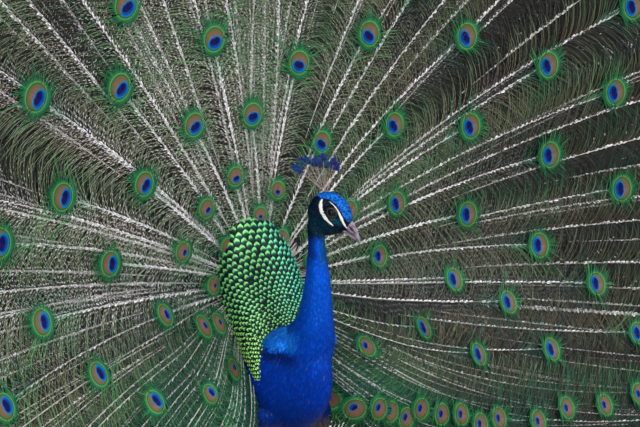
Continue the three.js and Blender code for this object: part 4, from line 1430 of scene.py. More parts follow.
@dataclass
class Face:
    """Bill, eyes, lids, bare stripes and crest."""

    surface: Surface
    upper: tuple[tuple[float, ...], ...] = (
        (27, 11.5, -7.8, 8.2), (36, 8.4, -8, 6.4), (45, 4.6, -8.2, 5.0), (52, 0.8, -8.6, 4.0), (58, -3.6, -9.4, 3.0),
        (63.5, -8.2, -11, 1.9), (67.2, -12.2, -13, 0.8),
    )
    lower: tuple[tuple[float, ...], ...] = (
        (24, -8.6, -15, 7.6), (36, -8.7, -13.4, 5.8), (46, -8.9, -12.6, 4.2), (55, -9.6, -12.3, 2.4), (60.5, -10.8, -12.2, 1.0),
    )
    nostril: tuple[float, float] = (43.0, -1.8)
    eye_out: float = 13.6
    eye_radius: float = 6.8

    def jaw(self, name: str, rows: tuple[tuple[float, ...], ...], finish: bpy.types.Material, holes: bool) -> bpy.types.Object:
        """One half of the bill as a fine loft."""
        bm = bmesh.new()
        axes, rings = HEAD.axes(), []
        for row in along(rows, np.linspace(0, 1, 46)):
            centre = HEAD.place(row[0], 0.5 * (row[1] + row[2]), 0.0)
            rings.append(section(centre, axes[2], axes[1], max(row[3], 0.5), max(0.5 * (row[1] - row[2]), 0.5)))
        ring_loft(bm, rings, 40)
        made = finish_mesh(bm, name, finish)
        points = Skin().read(made.data)
        ahead, up, left = HEAD.read(points).T
        floor = np.interp(ahead, [r[0] for r in rows], [0.5 * (r[1] + r[2]) for r in rows])
        roof = np.interp(ahead, [r[0] for r in rows], [r[1] for r in rows])
        share = np.clip((up - floor) / np.maximum(roof - floor, 0.1), -1, 1)
        slim = 1 - 0.22 * smooth(share) if holes else 1.0
        hole = np.hypot((ahead - self.nostril[0]) / 5.6, (up - self.nostril[1] + 0.22 * (ahead - self.nostril[0])) / 2.3)
        dent = smooth((1.25 - hole) / 0.6) * (1.0 if holes else 0.0)
        lid = 0.5 * smooth(1 - abs(hole - 1.5) / 0.5) * (up > self.nostril[1]) * (1.0 if holes else 0.0)
        moved = HEAD.place(ahead, up, left * slim - np.sign(left) * (1.5 * dent - lid))
        made.data.vertices.foreach_set("co", ((moved + SHIFT) * MM).astype(np.float32).ravel())
        # the nostril number marks where painted shade darkens the openings
        store = made.data.attributes.new("nostril", "FLOAT", "POINT")
        store.data.foreach_set("value", smooth((1.05 - hole) / 0.3 * (1.0 if holes else 0.0)).astype(np.float32))
        made.data.update()
        return made

    def eye_matrix(self, side: float) -> Matrix:
        """Turns +Z to where the eye of a side looks, at the ball's middle."""
        axes = HEAD.axes()
        out = unit(axes[2] * side + 0.12 * axes[0] + 0.04 * axes[1])
        ahead = unit(axes[0] - out * np.dot(out, axes[0]))
        up = np.cross(out, ahead)
        centre = HEAD.place(*EYE, side * self.eye_out)
        columns = np.stack([ahead, up, out, centre], axis=1)
        return Matrix([list(r) for r in columns] + [[0.0, 0.0, 0.0, 1.0]])

    def eyeball(self, side: float, finish: bpy.types.Material) -> bpy.types.Object:
        """A ball whose pole is the pupil, with a slight cornea."""
        bm = bmesh.new()
        bmesh.ops.create_uvsphere(bm, u_segments=48, v_segments=32, radius=self.eye_radius)
        store = bm.verts.layers.float.new("turn")
        for v in bm.verts:
            angle = math.acos(max(-1.0, min(1.0, v.co.z / self.eye_radius)))
            v[store] = angle
            v.co.z += 0.7 * float(smooth(1 - angle / 0.75))
        bm.transform(self.eye_matrix(side))
        return finish_mesh(bm, "eyeball_left" if side > 0 else "eyeball_right", finish)

    def lids(self, finish: bpy.types.Material) -> bpy.types.Object:
        """Rims of dark skin spun round both eyes and drawn out to corners."""
        bm = bmesh.new()
        profile = ((5.3, 4.25), (5.55, 4.75), (6.1, 5.05), (6.8, 4.9), (7.7, 4.2), (8.7, 3.1), (9.5, 1.6), (9.8, -0.5), (6.0, -0.5))
        for side in (-1.0, 1.0):
            row = [bm.verts.new((r, 0.0, h)) for r, h in profile]
            edges = [bm.edges.new(pair) for pair in zip(row, row[1:])]
            made = bmesh.ops.spin(
                bm, geom=row + edges, cent=(0, 0, 0), axis=(0, 0, 1), angle=2 * math.pi, steps=56, use_merge=True
            )
            del made
            fresh = [v for v in bm.verts if not v.tag]
            for v in fresh:
                angle = math.atan2(v.co.y, v.co.x)
                corner = abs(math.cos(angle)) ** 7
                v.co.x *= 1.02 + 0.13 * corner
                v.co.y *= 0.93
                v.co.z -= 0.7 * corner
                v.co.z += 0.12 * math.sin(14 * angle) * (math.hypot(v.co.x, v.co.y) > 6.4)
                v.tag = True
            bmesh.ops.transform(bm, matrix=self.eye_matrix(side), verts=fresh)
        return finish_mesh(bm, "eyelids", finish)

    def stripe(self, batch: Batch, line: Sequence[tuple[float, float]], widths: Sequence[float], side: float) -> None:
        """Adds one bare stripe, laid on the skin from the side.

        Args:
            batch: the mesh of all the stripes.
            line: its middle on the face.
            widths: half widths from end to end.
            side: which side of the head.
        """
        rows, columns = 44, 7
        t = np.linspace(0, 1, rows)
        middle = along(line, t)
        way = unit(np.gradient(middle, axis=0))
        across = np.stack([-way[:, 1], way[:, 0]], -1)
        half = np.interp(t, np.linspace(0, 1, len(widths)), widths) * (1 + 0.10 * np.sin(31 * t) + 0.08 * np.sin(67 * t))
        v = np.linspace(-1, 1, columns)
        spots = middle[:, None] + across[:, None] * (half[:, None] * v)[..., None]
        points = np.zeros((rows, columns, 3))
        out = HEAD.axes()[2] * side
        for i in range(rows):
            for j in range(columns):
                start = HEAD.place(spots[i, j, 0], spots[i, j, 1], side * 60)
                hit, normal, _, _ = self.surface.tree.ray_cast(Vector(start), Vector(-out))
                base = np.array(hit) if hit else HEAD.place(*spots[i, j], side * 8)
                face = np.array(normal) if hit else out
                points[i, j] = base + face * (0.95 * (1 - v[j] ** 2) ** 0.5 - 0.15)
        quads = [
            (i * columns + j, i * columns + j + 1, (i + 1) * columns + j + 1, (i + 1) * columns + j)
            for i in range(rows - 1) for j in range(columns - 1)
        ]
        if side < 0:
            quads = [tuple(reversed(q)) for q in quads]
        batch.add(points.reshape(1, -1, 3), quads, [], {"OFBake": (spots / 90 + 0.5).reshape(1, -1, 2)})

    def crest(self) -> bpy.types.Object:
        """A fan of bare shafts with rackets at their tips."""
        rng = np.random.default_rng(5)
        batch = Batch()
        ahead = np.array([math.sin(HEAD.yaw), -math.cos(HEAD.yaw), 0.0])
        up, out = np.array([0.0, 0.0, 1.0]), np.cross(ahead, np.array([0.0, 0.0, 1.0]))
        count = 19
        for i in range(count):
            angle = math.radians(106 + 39 * (2 * i / (count - 1) - 1) + rng.normal(0, 1.6))
            way = ahead * math.cos(angle) + up * math.sin(angle)
            side = ahead * -math.sin(angle) + up * math.cos(angle)
            root = HEAD.place(-24 + 9 * math.cos(angle) + rng.normal(0, 0.5), 15.5, rng.normal(0, 1.6))
            reach = rng.uniform(38, 50) + 2 * math.sin(angle)
            lean = rng.normal(0, 1.8)
            t = np.linspace(0, 1, 7)
            line = root + np.outer(reach * t, way) + np.outer(lean * t**2, out)
            radius = 0.27 - 0.1 * t
            turn = np.arange(4) * np.pi / 2
            ring = line[:, None] + radius[:, None, None] * (
                np.cos(turn)[None, :, None] * side + np.sin(turn)[None, :, None] * out
            )
            quads = [
                (4 * r + k, 4 * r + (k + 1) % 4, 4 * r + 4 + (k + 1) % 4, 4 * r + 4 + k) for r in range(6) for k in range(4)
            ]
            shape = (1, 28)
            cell = np.array([0.04 * i + 0.01, 0.1])
            batch.add(
                ring.reshape(1, -1, 3), quads, [],
                {"Lie": np.zeros((1, 28, 2)), "OFBake": np.broadcast_to(cell, (1, 28, 2))}, {"chance": np.full(shape, 0.0)},
            )
            strands = 22
            mood = rng.random()
            spread = np.linspace(-1, 1, strands)
            turn_away = np.radians(74 * spread) + rng.normal(0, 0.06, strands)
            start = line[-1] - np.outer(5.5 * abs(spread), way)
            course = np.outer(np.cos(turn_away), way) + np.outer(np.sin(turn_away), side)
            length = (8.8 - 2.6 * abs(spread)) * rng.uniform(0.8, 1.2, strands)
            u = np.array([0.0, 0.5, 1.0])
            bow = np.outer(rng.normal(0, 1.0, strands), u**2)
            centre = start[:, None] + course[:, None] * (length[:, None] * u)[..., None] + out * bow[..., None]
            flat = np.cross(course, out)
            half = np.array([0.55, 0.75, 0.0])
            points = np.stack([centre - flat[:, None] * half[:, None], centre + flat[:, None] * half[:, None]], 2)
            points = points.reshape(strands, 6, 3)[:, :5]
            points[:, 4] = centre[:, 2]
            lie = np.broadcast_to(np.stack([np.array([0, 0, 0.5, 0.5, 1.0]), np.array([1.0] * 5)], -1), (strands, 5, 2))
            bake = cell + np.array([0.0, 0.1]) + 0.003 * lie + np.stack([0 * spread, 0.02 * spread], -1)[:, None]
            batch.add(
                points, [(0, 1, 3, 2)], [(2, 3, 4)], {"Lie": lie, "OFBake": bake},
                {"chance": np.broadcast_to((0.7 * mood + 0.3 * rng.random(strands))[:, None], (strands, 5))},
            )
            small = 16
            spots = np.linspace(0.25, 0.9, small)
            away = np.where(np.arange(small) % 2 == 0, 1.0, -1.0)
            course = 0.8 * way + np.outer(away, 0.6 * side)
            first = root + np.outer(reach * spots, way) + np.outer(lean * spots**2, out)
            tips = first + course * rng.uniform(1.6, 2.8, (small, 1))
            thick = 0.16 * way
            points = np.stack([first - thick, first + thick, tips], 1)
            batch.add(
                points, np.zeros((0, 4)), [(0, 1, 2)],
                {"Lie": np.full((small, 3, 2), 0.0), "OFBake": np.broadcast_to(cell + 0.3, (small, 3, 2))},
                {"chance": np.full((small, 3), 0.05)},
            )
        f = Finish("crest_feather")
        u, v = f.map("Lie")
        chance = f.number("chance")
        blue = f.mix(chance.step(0.55, 0.9), rgb(6, 44, 146), rgb(8, 92, 104))
        blue = f.mix(chance.step(0.4, 0.1), blue, rgb(6, 16, 40))
        blue = f.mix(u.step(0.1, 0.7), rgb(8, 14, 40), blue)
        shaft = f.mix(f.noise(300, 2).step(0.4, 0.7) * 0.6, rgb(186, 158, 160), rgb(104, 80, 84))
        colour = f.mix(v.step(0.3, 0.7), shaft, blue)
        finish = f.dress({"Base Color": colour, "Roughness": 0.4, "Metallic": v.step(0.3, 0.7) * 0.4})
        made = batch.make("crest_plumes", finish, soft=False)
        LOG.info("crest_plumes: %d triangles", batch.triangles())
        return made

    def build(self) -> list[bpy.types.Object]:
        """All pieces of the face."""
        horn = HornFinish("bill_horn", rgb(152, 134, 154), rgb(84, 72, 90)).make()
        pieces = [
            (self.jaw("bill_upper_horn", self.upper, horn, True), ("bill_upper",), "bill_horn"),
            (self.jaw("bill_lower_horn", self.lower, horn, False), ("bill_lower",), "bill_horn"),
        ]
        f = Finish("eye_gloss")
        turn = f.number("turn")
        iris = f.mix(f.noise(900, 2), rgb(24, 13, 10), rgb(10, 6, 6))
        colour = f.mix(turn.step(0.44, 0.38), iris, rgb(3, 3, 4))
        colour = f.mix(turn.step(0.82, 0.95), colour, rgb(12, 9, 9))
        wet = f.dress({"Base Color": colour, "Roughness": 0.24, "Specular IOR Level": 0.1, "Coat Weight": 0.3, "Coat Roughness": 0.03})
        pieces.append((self.eyeball(1.0, wet), ("eye_left",), "eye_gloss"))
        pieces.append((self.eyeball(-1.0, wet), ("eye_right",), "eye_gloss"))
        f = Finish("eyelid_skin")
        spots = f.noise(500, 3)
        f.bump(spots, 0.6, 0.0006)
        dark = f.dress({"Base Color": f.mix(spots.step(0.35, 0.7), rgb(6, 8, 10), rgb(22, 24, 28)), "Roughness": 0.45})
        pieces.append((self.lids(dark), (), "skin_blue"))
        batch = Batch()
        for side in (-1.0, 1.0):
            self.stripe(batch, CREAM_LINE, (1.4, 3.0, 3.4, 2.9, 2.6, 1.8, 0.5), side)
            self.stripe(batch, BROW_LINE, (0.3, 0.8, 1.3, 1.9, 2.2, 1.7, 0.7), side)
        pieces.append((batch.make("face_stripes", BareSkinFinish().make()), (), "skin_blue"))
        pieces.append((self.crest(), ("crest",), "crest_feather"))
        for piece, nodes, slot in pieces:
            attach(piece, "root")
            if nodes:
                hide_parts(*nodes)
            LOG.info("%s: %d faces", piece.name, len(piece.data.polygons))
        return [piece for piece, _, _ in pieces]


# ---------------------------------------------------------------- back scales
@dataclass(frozen=True)
class ScaleFinish:
    """Metallic back feathers whose painted highlight arc near the tip is gold and bronze low down, turquoise and green
    above, over dark teal; dark at the root and rim.
    """

    def make(self) -> bpy.types.Material:
        """Builds the material."""
        f = Finish("back_scale")
        u, v = f.map("Lie")
        chance = f.number("chance")
        side = ((v - 0.5).absolute() * 2)
        # painted highlight: an arc of the scale's tone near its tip; the rest of the scale stays dark teal
        highlight_arc = (u + side * side * 0.14).step(0.71, 0.84) * (u + side * side * 0.08).step(1.05, 0.97)
        tone = f.mix(chance * 0.4, f.tone("tone"), rgb(150, 214, 130))
        middle = f.mix(u.step(0.5, 0.78), rgb(3, 28, 26), rgb(6, 80, 70))
        colour = f.mix(highlight_arc * side.step(1.0, 0.7), middle, tone)
        colour = f.mix(side.step(0.6, 0.92) * 0.9, colour, rgb(2, 18, 16))
        colour = f.mix(u.step(0.35, 0.1), colour, rgb(3, 18, 16))
        strands = (v * 70).wave() * 0.5 + 0.5
        f.bump(strands, 0.2, 0.0002)
        return f.dress({"Base Color": colour, "Metallic": 0.45, "Roughness": 0.36 + 0.12 * chance, "Specular IOR Level": 0.25})


@dataclass
class BackShield:
    """The back's scale feathers, spread upright in display."""

    stations: tuple[tuple[float, ...], ...] = (
        (330, -26, 50, 10, 0), (342, -20, 62, 18, 0), (358, -10, 67, 30, 0), (382, 12, 70, 46, 0),
        (408, 40, 69, 62, -1), (430, 57, 69, 68, -3), (456, 67, 70, 62, -5), (492, 72, 67, 51, -10),
        (528, 73, 56, 39, -15), (556, 74, 41, 23, -18), (571, 74, 26, 11, -18), (578, 74, 8, 3, -18),
    )
    origin: float = 398.0

    def scale_size(self, radius: Array, angle: Array) -> Array:
        """Size of a scale by its distance and direction from the middle of the mantle."""
        upward = smooth((np.cos(angle) + 0.35) / 0.9)
        return 6.0 + 8.5 * smooth((radius - 8) / 150) * (0.12 + 0.88 * upward)

    def build(self, surface: Surface) -> list[bpy.types.Object]:
        """The backing shell and the scales."""
        rng = np.random.default_rng(31)
        turn = np.linspace(-np.pi / 2, np.pi / 2, 121)
        heights = np.linspace(0, 1, 140)
        rows = along(self.stations, heights)
        x = rows[:, 4:5] + rows[:, 2:3] * np.sin(turn)
        y = rows[:, 1:2] - rows[:, 3:4] * np.cos(turn)
        shell = np.stack([x, y, np.broadcast_to(rows[:, :1], x.shape)], -1)
        step = np.linalg.norm(np.diff(shell, axis=1), axis=2)
        arc = np.concatenate([np.zeros((len(rows), 1)), np.cumsum(step, axis=1)], 1)
        arc -= arc[:, 60:61]
        normal = unit(np.cross(np.gradient(shell, axis=1), np.gradient(shell, axis=0)))
        normal *= -np.sign(normal[..., 1:2] + 1e-9)
        spots, sizes, ways = [], [], []
        angles = np.linspace(0, 2 * np.pi, 241)
        radius, k = np.full(241, 4.0), 0
        while radius.min() < 150 and k < 60:
            size = self.scale_size(radius, angles)
            curve = radius[:, None] * np.stack([np.sin(angles), np.cos(angles)], -1)
            gaps = np.linalg.norm(np.diff(curve, axis=0), axis=1) / (0.84 * 0.5 * (size[1:] + size[:-1]))
            turns = np.concatenate([[0.0], np.cumsum(gaps)])
            count = max(6, int(turns[-1]))
            at = (np.arange(count) + 0.5 * (k % 2)) / count * turns[-1] + rng.normal(0, 0.06, count)
            angle = np.interp(at, turns, angles)
            reach = np.interp(at, turns, radius)
            spots += list(np.stack([reach * np.sin(angle), self.origin + reach * np.cos(angle)], -1))
            sizes += list(np.interp(at, turns, size))
            ways += list(angle)
            radius = radius + 0.6 * size
            k += 1
        roots, faces, lies, size_list = [], [], [], []
        for (across, height), size, angle in zip(spots, sizes, ways):
            place = float(np.interp(height, rows[:, 0], np.arange(len(rows))))
            if not 330 < height < 577:
                continue
            i = int(round(place))
            if abs(across) > arc[i, -1] - 1:
                continue
            j = float(np.interp(across, arc[i], np.arange(121)))
            j0 = int(min(j, 119))
            point = shell[i, j0] + (shell[i, j0 + 1] - shell[i, j0]) * (j - j0)
            point = point + (height - rows[i, 0]) * np.array([0, 0, 1.0])
            up = unit(shell[min(i + 1, 139), j0] - shell[max(i - 1, 0), j0])
            right = unit(shell[i, j0 + 1] - shell[i, j0])
            roots.append(point)
            faces.append(normal[i, j0])
            lies.append(up * math.cos(angle) + right * math.sin(angle))
            size_list.append(size)
        roots, faces, lies, size = map(np.array, (roots, faces, lies, size_list))
        leaf = Leaf(rows=(0.0, 0.3, 0.6, 0.86), widths=(0.6, 0.96, 1.0, 0.7), dome=0.3)
        length, width = size * 1.6 * rng.uniform(0.92, 1.08, len(size)), size * 0.86
        points, lie = leaf.lay(roots - lies * size[:, None] * 0.7, faces, lies, length, width, 0.2 * size, 0.8)
        # scale tone, partly the feathers' own gold and green and partly painted iridescent sheen: gold towards -x, aqua
        # towards +x, as the sheen looks from the camera on the -x side
        high = smooth((roots[:, 2] - 350) / 190)
        near = smooth((roots[:, 0] + 40) / 80)
        gold, green, aqua = rgb(146, 222, 108), rgb(70, 206, 136), rgb(70, 226, 206)
        tone = blend(gold, green, smooth(high * 1.6 + 0.25 * near))
        tone = blend(tone, aqua, near * 0.8 * smooth(high * 1.3))
        tone = blend(tone, rgb(168, 200, 92), 0.42 * (1 - near))
        shape = points.shape[:2]
        chart = np.stack([0.5 + roots[:, 0] / 200, (roots[:, 2] - 300) / 300], -1)[:, None] + 0.003 * (lie - 0.5)
        batch = Batch()
        batch.add(
            points, *leaf.faces(), {"Lie": lie, "OFBake": chart},
            {"chance": np.broadcast_to(rng.random(len(size))[:, None], shape)},
            {"tone": np.broadcast_to(tone[:, None], (*shape, 3))},
        )
        scales = batch.make("back_scales", ScaleFinish().make())
        LOG.info("back_scales: %d, %d triangles", len(size), batch.triangles())
        bm = bmesh.new()
        rings = []
        for row in along(self.stations, np.linspace(0, 1, 40)):
            wide, deep = max(row[2] - 2.5, 1.0), max(row[3] - 2.5, 1.0)
            rings.append(section(np.array([row[4], row[1], row[0]]), np.array([1.0, 0, 0]), np.array([0, 1.0, 0]), wide, deep))
        ring_loft(bm, rings, 64)
        for v in bm.verts:
            middle = float(np.interp(v.co.z, rows[:, 0], rows[:, 1]))
            if v.co.y > middle:
                v.co.y = middle + 0.08 * (v.co.y - middle)
        f = Finish("back_down")
        shade = f.noise(240, 3)
        f.bump(shade, 0.6, 0.001)
        dark = f.dress({"Base Color": f.mix(shade, rgb(8, 38, 32), rgb(20, 66, 50)), "Roughness": 0.7})
        backing = finish_mesh(bm, "back_down", dark)
        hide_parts("back_shield")
        for piece in (scales, backing):
            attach(piece, "root")
        return [scales, backing]


@dataclass
class Body:
    """Skin, coat, face and back."""

    def build(self) -> Surface:
        """Builds them in order and returns the skin's surface."""
        skin = Skin()
        body = skin.build()
        surface = Surface(skin, body)
        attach(body, "root")
        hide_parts("head", "neck_upper", "neck_lower", "trunk", "thigh_left", "thigh_right")
        for piece in Coat(surface).build():
            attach(piece, "root")
        Face(surface).build()
        BackShield().build(surface)
        return surface


# ---------------------------------------------------------------- feathers with closed vanes
@dataclass
class Vane:
    """The make of a flat feather: slanting strands side by side and a shaft."""

    strands: int = 34
    sweep: float = 0.13
    base: float = 0.06
    tip_round: float = 0.16
    camber: float = 0.16
    split: float = 0.5

    def profile(self, t: Array) -> Array:
        """Share of the full half width along the feather."""
        tip = np.sqrt(np.clip(1 - ((t - (1 - self.tip_round)) / self.tip_round).clip(0, 1) ** 2, 0, 1))
        return (0.28 + 0.72 * smooth(t / 0.4)) * tip

    def add(
        self, batch: Batch, root: Array, way: Array, face: Array, size: tuple[float, float], bow: float,
        bake: tuple[float, float], rng: np.random.Generator, shade: float = 0.0,
    ) -> None:
        """Adds one feather.

        Args:
            batch: the mesh it joins.
            root: where it starts.
            way: where it points.
            face: the way its outer face looks.
            size: length and half width.
            bow: how far the tip bends to the face's back.
            bake: its place on the bake map.
            rng: the source of chance.
            shade: a number stored on the mesh under that name; no finish reads it.
        """
        length, half = size
        way = unit(way)
        face = unit(face - way * np.dot(face, way))
        across = np.cross(way, face)
        chance = rng.random()
        bounds = np.linspace(self.base, 1.0, self.strands + 1)
        v = np.array([0.0, 0.5, 1.0])
        for side in (-1.0, 1.0):
            lines = []
            for t in (bounds[:-1], bounds[1:]):
                end = t + self.sweep * (1 - t) ** 0.7
                run = t[:, None] + (end - t)[:, None] * v
                lines.append((run, side * self.profile(end)[:, None] * v))
            run = np.stack([lines[0][0], lines[1][0]], 1)
            out = np.stack([lines[0][1], lines[1][1]], 1)
            gap = (rng.random((self.strands, 1, 1)) < 0.12) * rng.uniform(-0.012, 0.012, (self.strands, 1, 1)) * v
            run = run + gap * self.split * 2
            rise = -self.camber * half * out**2 - bow * run**2 + rng.uniform(-0.15, 0.15, (self.strands, 1, 1)) * v
            rise = rise + np.array([0.0, 0.22])[None, :, None] * v
            points = root + way * (run * length)[..., None] + across * (out * half)[..., None] + face * rise[..., None]
            lie = np.stack([run, 0.5 + 0.5 * out], -1).reshape(self.strands, 6, 2)
            quads = [(0, 1, 4, 3), (1, 2, 5, 4)]
            quads = quads if side > 0 else [tuple(reversed(q)) for q in quads]
            batch.add(
                points.reshape(self.strands, 6, 3), quads, [],
                {"Lie": lie, "OFBake": np.array(bake) + 0.02 * (lie - 0.5)},
                {"chance": np.full((self.strands, 6), chance), "shaft": np.zeros((self.strands, 6)),
                 "shade": np.full((self.strands, 6), shade)},
            )
        t = np.linspace(-0.04, 0.97, 8)
        radius = np.interp(t, (0, 1), (0.028 * half + 0.6, 0.25))
        line = root + np.outer(length * t, way) + np.outer(-bow * t * abs(t), face)
        corners = ((-1.0, 0.0), (0.0, 1.0), (1.0, 0.0))
        ring = np.stack([line + radius[:, None] * (a * across + b * face) for a, b in corners], 1)
        quads = [(3 * r + k, 3 * r + (k + 1) % 3, 3 * r + 3 + (k + 1) % 3, 3 * r + 3 + k) for r in range(7) for k in range(3)]
        lie = np.stack([np.repeat(np.clip(t, 0, 1), 3), np.full(24, 0.5)], -1)[None]
        batch.add(
            ring.reshape(1, -1, 3), quads, [], {"Lie": lie, "OFBake": np.array(bake) + 0.02 * (lie - 0.5)},
            {"chance": np.full((1, 24), chance), "shaft": np.ones((1, 24)), "shade": np.full((1, 24), shade)},
        )


@dataclass(frozen=True)
class VaneFinish:
    """A vane with strand lines, mottling or bars and a pale shaft."""

    name: str
    ground: Colour
    mark: Colour
    edge: Colour
    bars: float = 0.0
    metal: float = 0.0

    def make(self) -> bpy.types.Material:
        """Builds the material."""
        f = Finish(self.name)
        u, v = f.map("Lie")
        chance = f.number("chance")
        mottle = f.noise(150, 4)
        off = (v - 0.5).absolute() * 2
        if self.bars:
            wave = ((u + off * 0.03 + mottle * 0.07) * self.bars + chance * 6).wave()
            share = wave.step(-0.1, 0.35)
        else:
            share = mottle.step(0.42, 0.62)
        colour = f.mix(share, self.ground, self.mark)
        colour = f.mix(off.step(0.72, 1.0) * 0.6, colour, self.edge)
        colour = f.mix(chance * 0.25, colour, self.mark)
        colour = f.mix(f.number("shaft") * 0.8, colour, rgb(190, 172, 150))
        strands = ((u * 140) + off * 14).wave() * 0.5 + 0.5
        f.bump(strands, 0.3, 0.0004)
        return f.dress({"Base Color": colour, "Metallic": self.metal, "Roughness": 0.5 + 0.12 * mottle})


@dataclass
class Tail:
    """The plain tail feathers that prop the train up from behind."""

    fan: Fan
    count: int = 20
    half_angle: float = 88.0
    behind: float = 36.0
    length: float = 428.0

    def build(self) -> bpy.types.Object:
        """Builds the fan of tail feathers."""
        rng = np.random.default_rng(41)
        batch = Batch()
        vane = Vane(strands=56, sweep=0.09, tip_round=0.12, camber=0.1)
        for i in range(self.count):
            angle = self.half_angle * (2 * i / (self.count - 1) - 1) + rng.normal(0, 0.8)
            back = self.behind + 2.2 * abs(i - 9.5) ** 0.5 + 2.4 * (i % 2)
            ends = self.fan.lay(np.stack([heading(angle) * 34, heading(angle) * self.length * rng.uniform(0.97, 1.0)]), back)
            way = ends[1] - ends[0]
            vane.add(
                batch, ends[0], way, np.array([0.0, 1.0, 0.0]), (float(np.linalg.norm(way)), 31.0), 3.0,
                (0.05 + 0.045 * i, 0.5), rng,
            )
        finish = VaneFinish("tail_brown", rgb(96, 78, 60), rgb(58, 46, 38), rgb(128, 108, 84)).make()
        made = batch.make("tail_feathers", finish)
        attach(made, "root")
        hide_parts("tail")
        LOG.info("tail_feathers: %d, %d triangles", self.count, batch.triangles())
        return made


@dataclass
class Wing:
    """One folded wing: rufous primaries, dark secondaries and barred buff coverts."""

    side: float
    stations: tuple[tuple[float, ...], ...] = (
        (86, 44, 366, 5, 20), (93, 62, 352, 8, 48), (100, 96, 334, 8, 62), (107, 134, 306, 7, 58),
        (113, 168, 276, 5.5, 44), (118, 198, 246, 4, 28), (122, 224, 218, 2, 8),
    )

    def spot(self, s: float, h: float, off: float) -> tuple[Array, Array, Array]:
        """A place on the outer face.

        Args:
            s: along the wing, 0 to 1.
            h: from its lower edge, -1, to its upper edge, 1.
            off: how far off the middle plane.

        Returns:
            The place, the way along the wing and the way out.
        """
        here, next_one = along(self.stations, s), along(self.stations, min(1.0, s + 0.03))
        before = along(self.stations, max(0.0, s - 0.03))
        way = unit((next_one - before)[:3])
        out = unit(np.array([1.0, -0.25, 0.0]) - way * np.dot(way, np.array([1.0, -0.25, 0.0])))
        up = np.cross(way, out)
        up = up * np.sign(up[2])
        place = here[:3] + up * here[4] * h + out * (off - 2.5 * abs(h) ** 2)
        mirror = np.array([self.side, 1.0, 1.0])
        return place * mirror, way * mirror, out * mirror

    def turned(self, way: Array, out: Array, degrees: float) -> Array:
        """The way turned downwards in the wing's plane."""
        angle = math.radians(degrees)
        down = np.cross(way, out)
        down = down * -np.sign(down[2])
        return way * math.cos(angle) + down * math.sin(angle)

    def build(self) -> list[bpy.types.Object]:
        """Builds the layers from the inside out."""
        rng = np.random.default_rng(51 if self.side > 0 else 52)
        word = "left" if self.side > 0 else "right"
        layers = (
            ("primaries", 10, (0.18, 0.42), (-0.55, 0.2), (184, 104), 13.0, (16, 3), 0.0, 2.0,
             VaneFinish(f"wing_rufous_{word}", rgb(142, 84, 50), rgb(112, 62, 38), rgb(158, 104, 66))),
            ("secondaries", 12, (0.10, 0.42), (-0.1, 0.75), (118, 104), 15.0, (14, 2), 0.0, 4.5,
             VaneFinish(f"wing_dark_{word}", rgb(30, 38, 46), rgb(20, 24, 28), rgb(46, 66, 72), 0.0, 0.25)),
            ("coverts", 42, (0.02, 0.50), (-0.75, 0.95), (50, 40), 12.0, (12, -6), 30.0, 7.0,
             VaneFinish(f"wing_buff_{word}", rgb(176, 152, 118), rgb(52, 44, 38), rgb(186, 166, 134), 26.0)),
        )
        made = []
        for name, count, along_range, high_range, lengths, half, angles, jitter, off, finish in layers:
            batch = Batch()
            vane = Vane(strands=30 if name != "coverts" else 12, tip_round={"coverts": 0.22, "secondaries": 0.18, "primaries": 0.3}[name])
            for i in range(count):
                t = i / (count - 1)
                if name == "coverts":
                    row, place = divmod(i, 7)
                    s = along_range[1] - (along_range[1] - along_range[0]) * row / 5 + rng.normal(0, 0.006)
                    h = high_range[0] + (high_range[1] - high_range[0]) * (place + 0.5 * (row % 2)) / 6.5
                    t = 1 - row / 5
                    rise = off + 0.9 * (5 - row) * -1 + 4.5
                else:
                    s = along_range[0] + (along_range[1] - along_range[0]) * t
                    h = high_range[0] + (high_range[1] - high_range[0]) * t
                    rise = off + 0.35 * i * (1 if name == "secondaries" else -0.1)
                root, way, out = self.spot(s, h, rise)
                angle = angles[0] + (angles[1] - angles[0]) * t + rng.normal(0, 0.8)
                length = lengths[0] + (lengths[1] - lengths[0]) * t
                vane.add(
                    batch, root, self.turned(way, out, angle), out, (length, half), 2.0,
                    (0.1 + 0.8 * t, 0.2 + 0.3 * (i % 3)), rng,
                )
            piece = batch.make(f"wing_{name}_{word}", finish.make())
            if name == "coverts":
                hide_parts(f"wing_{word}")
            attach(piece, "root")
            LOG.info("%s: %d feathers, %d triangles", piece.name, count, batch.triangles())
            made.append(piece)
        return made


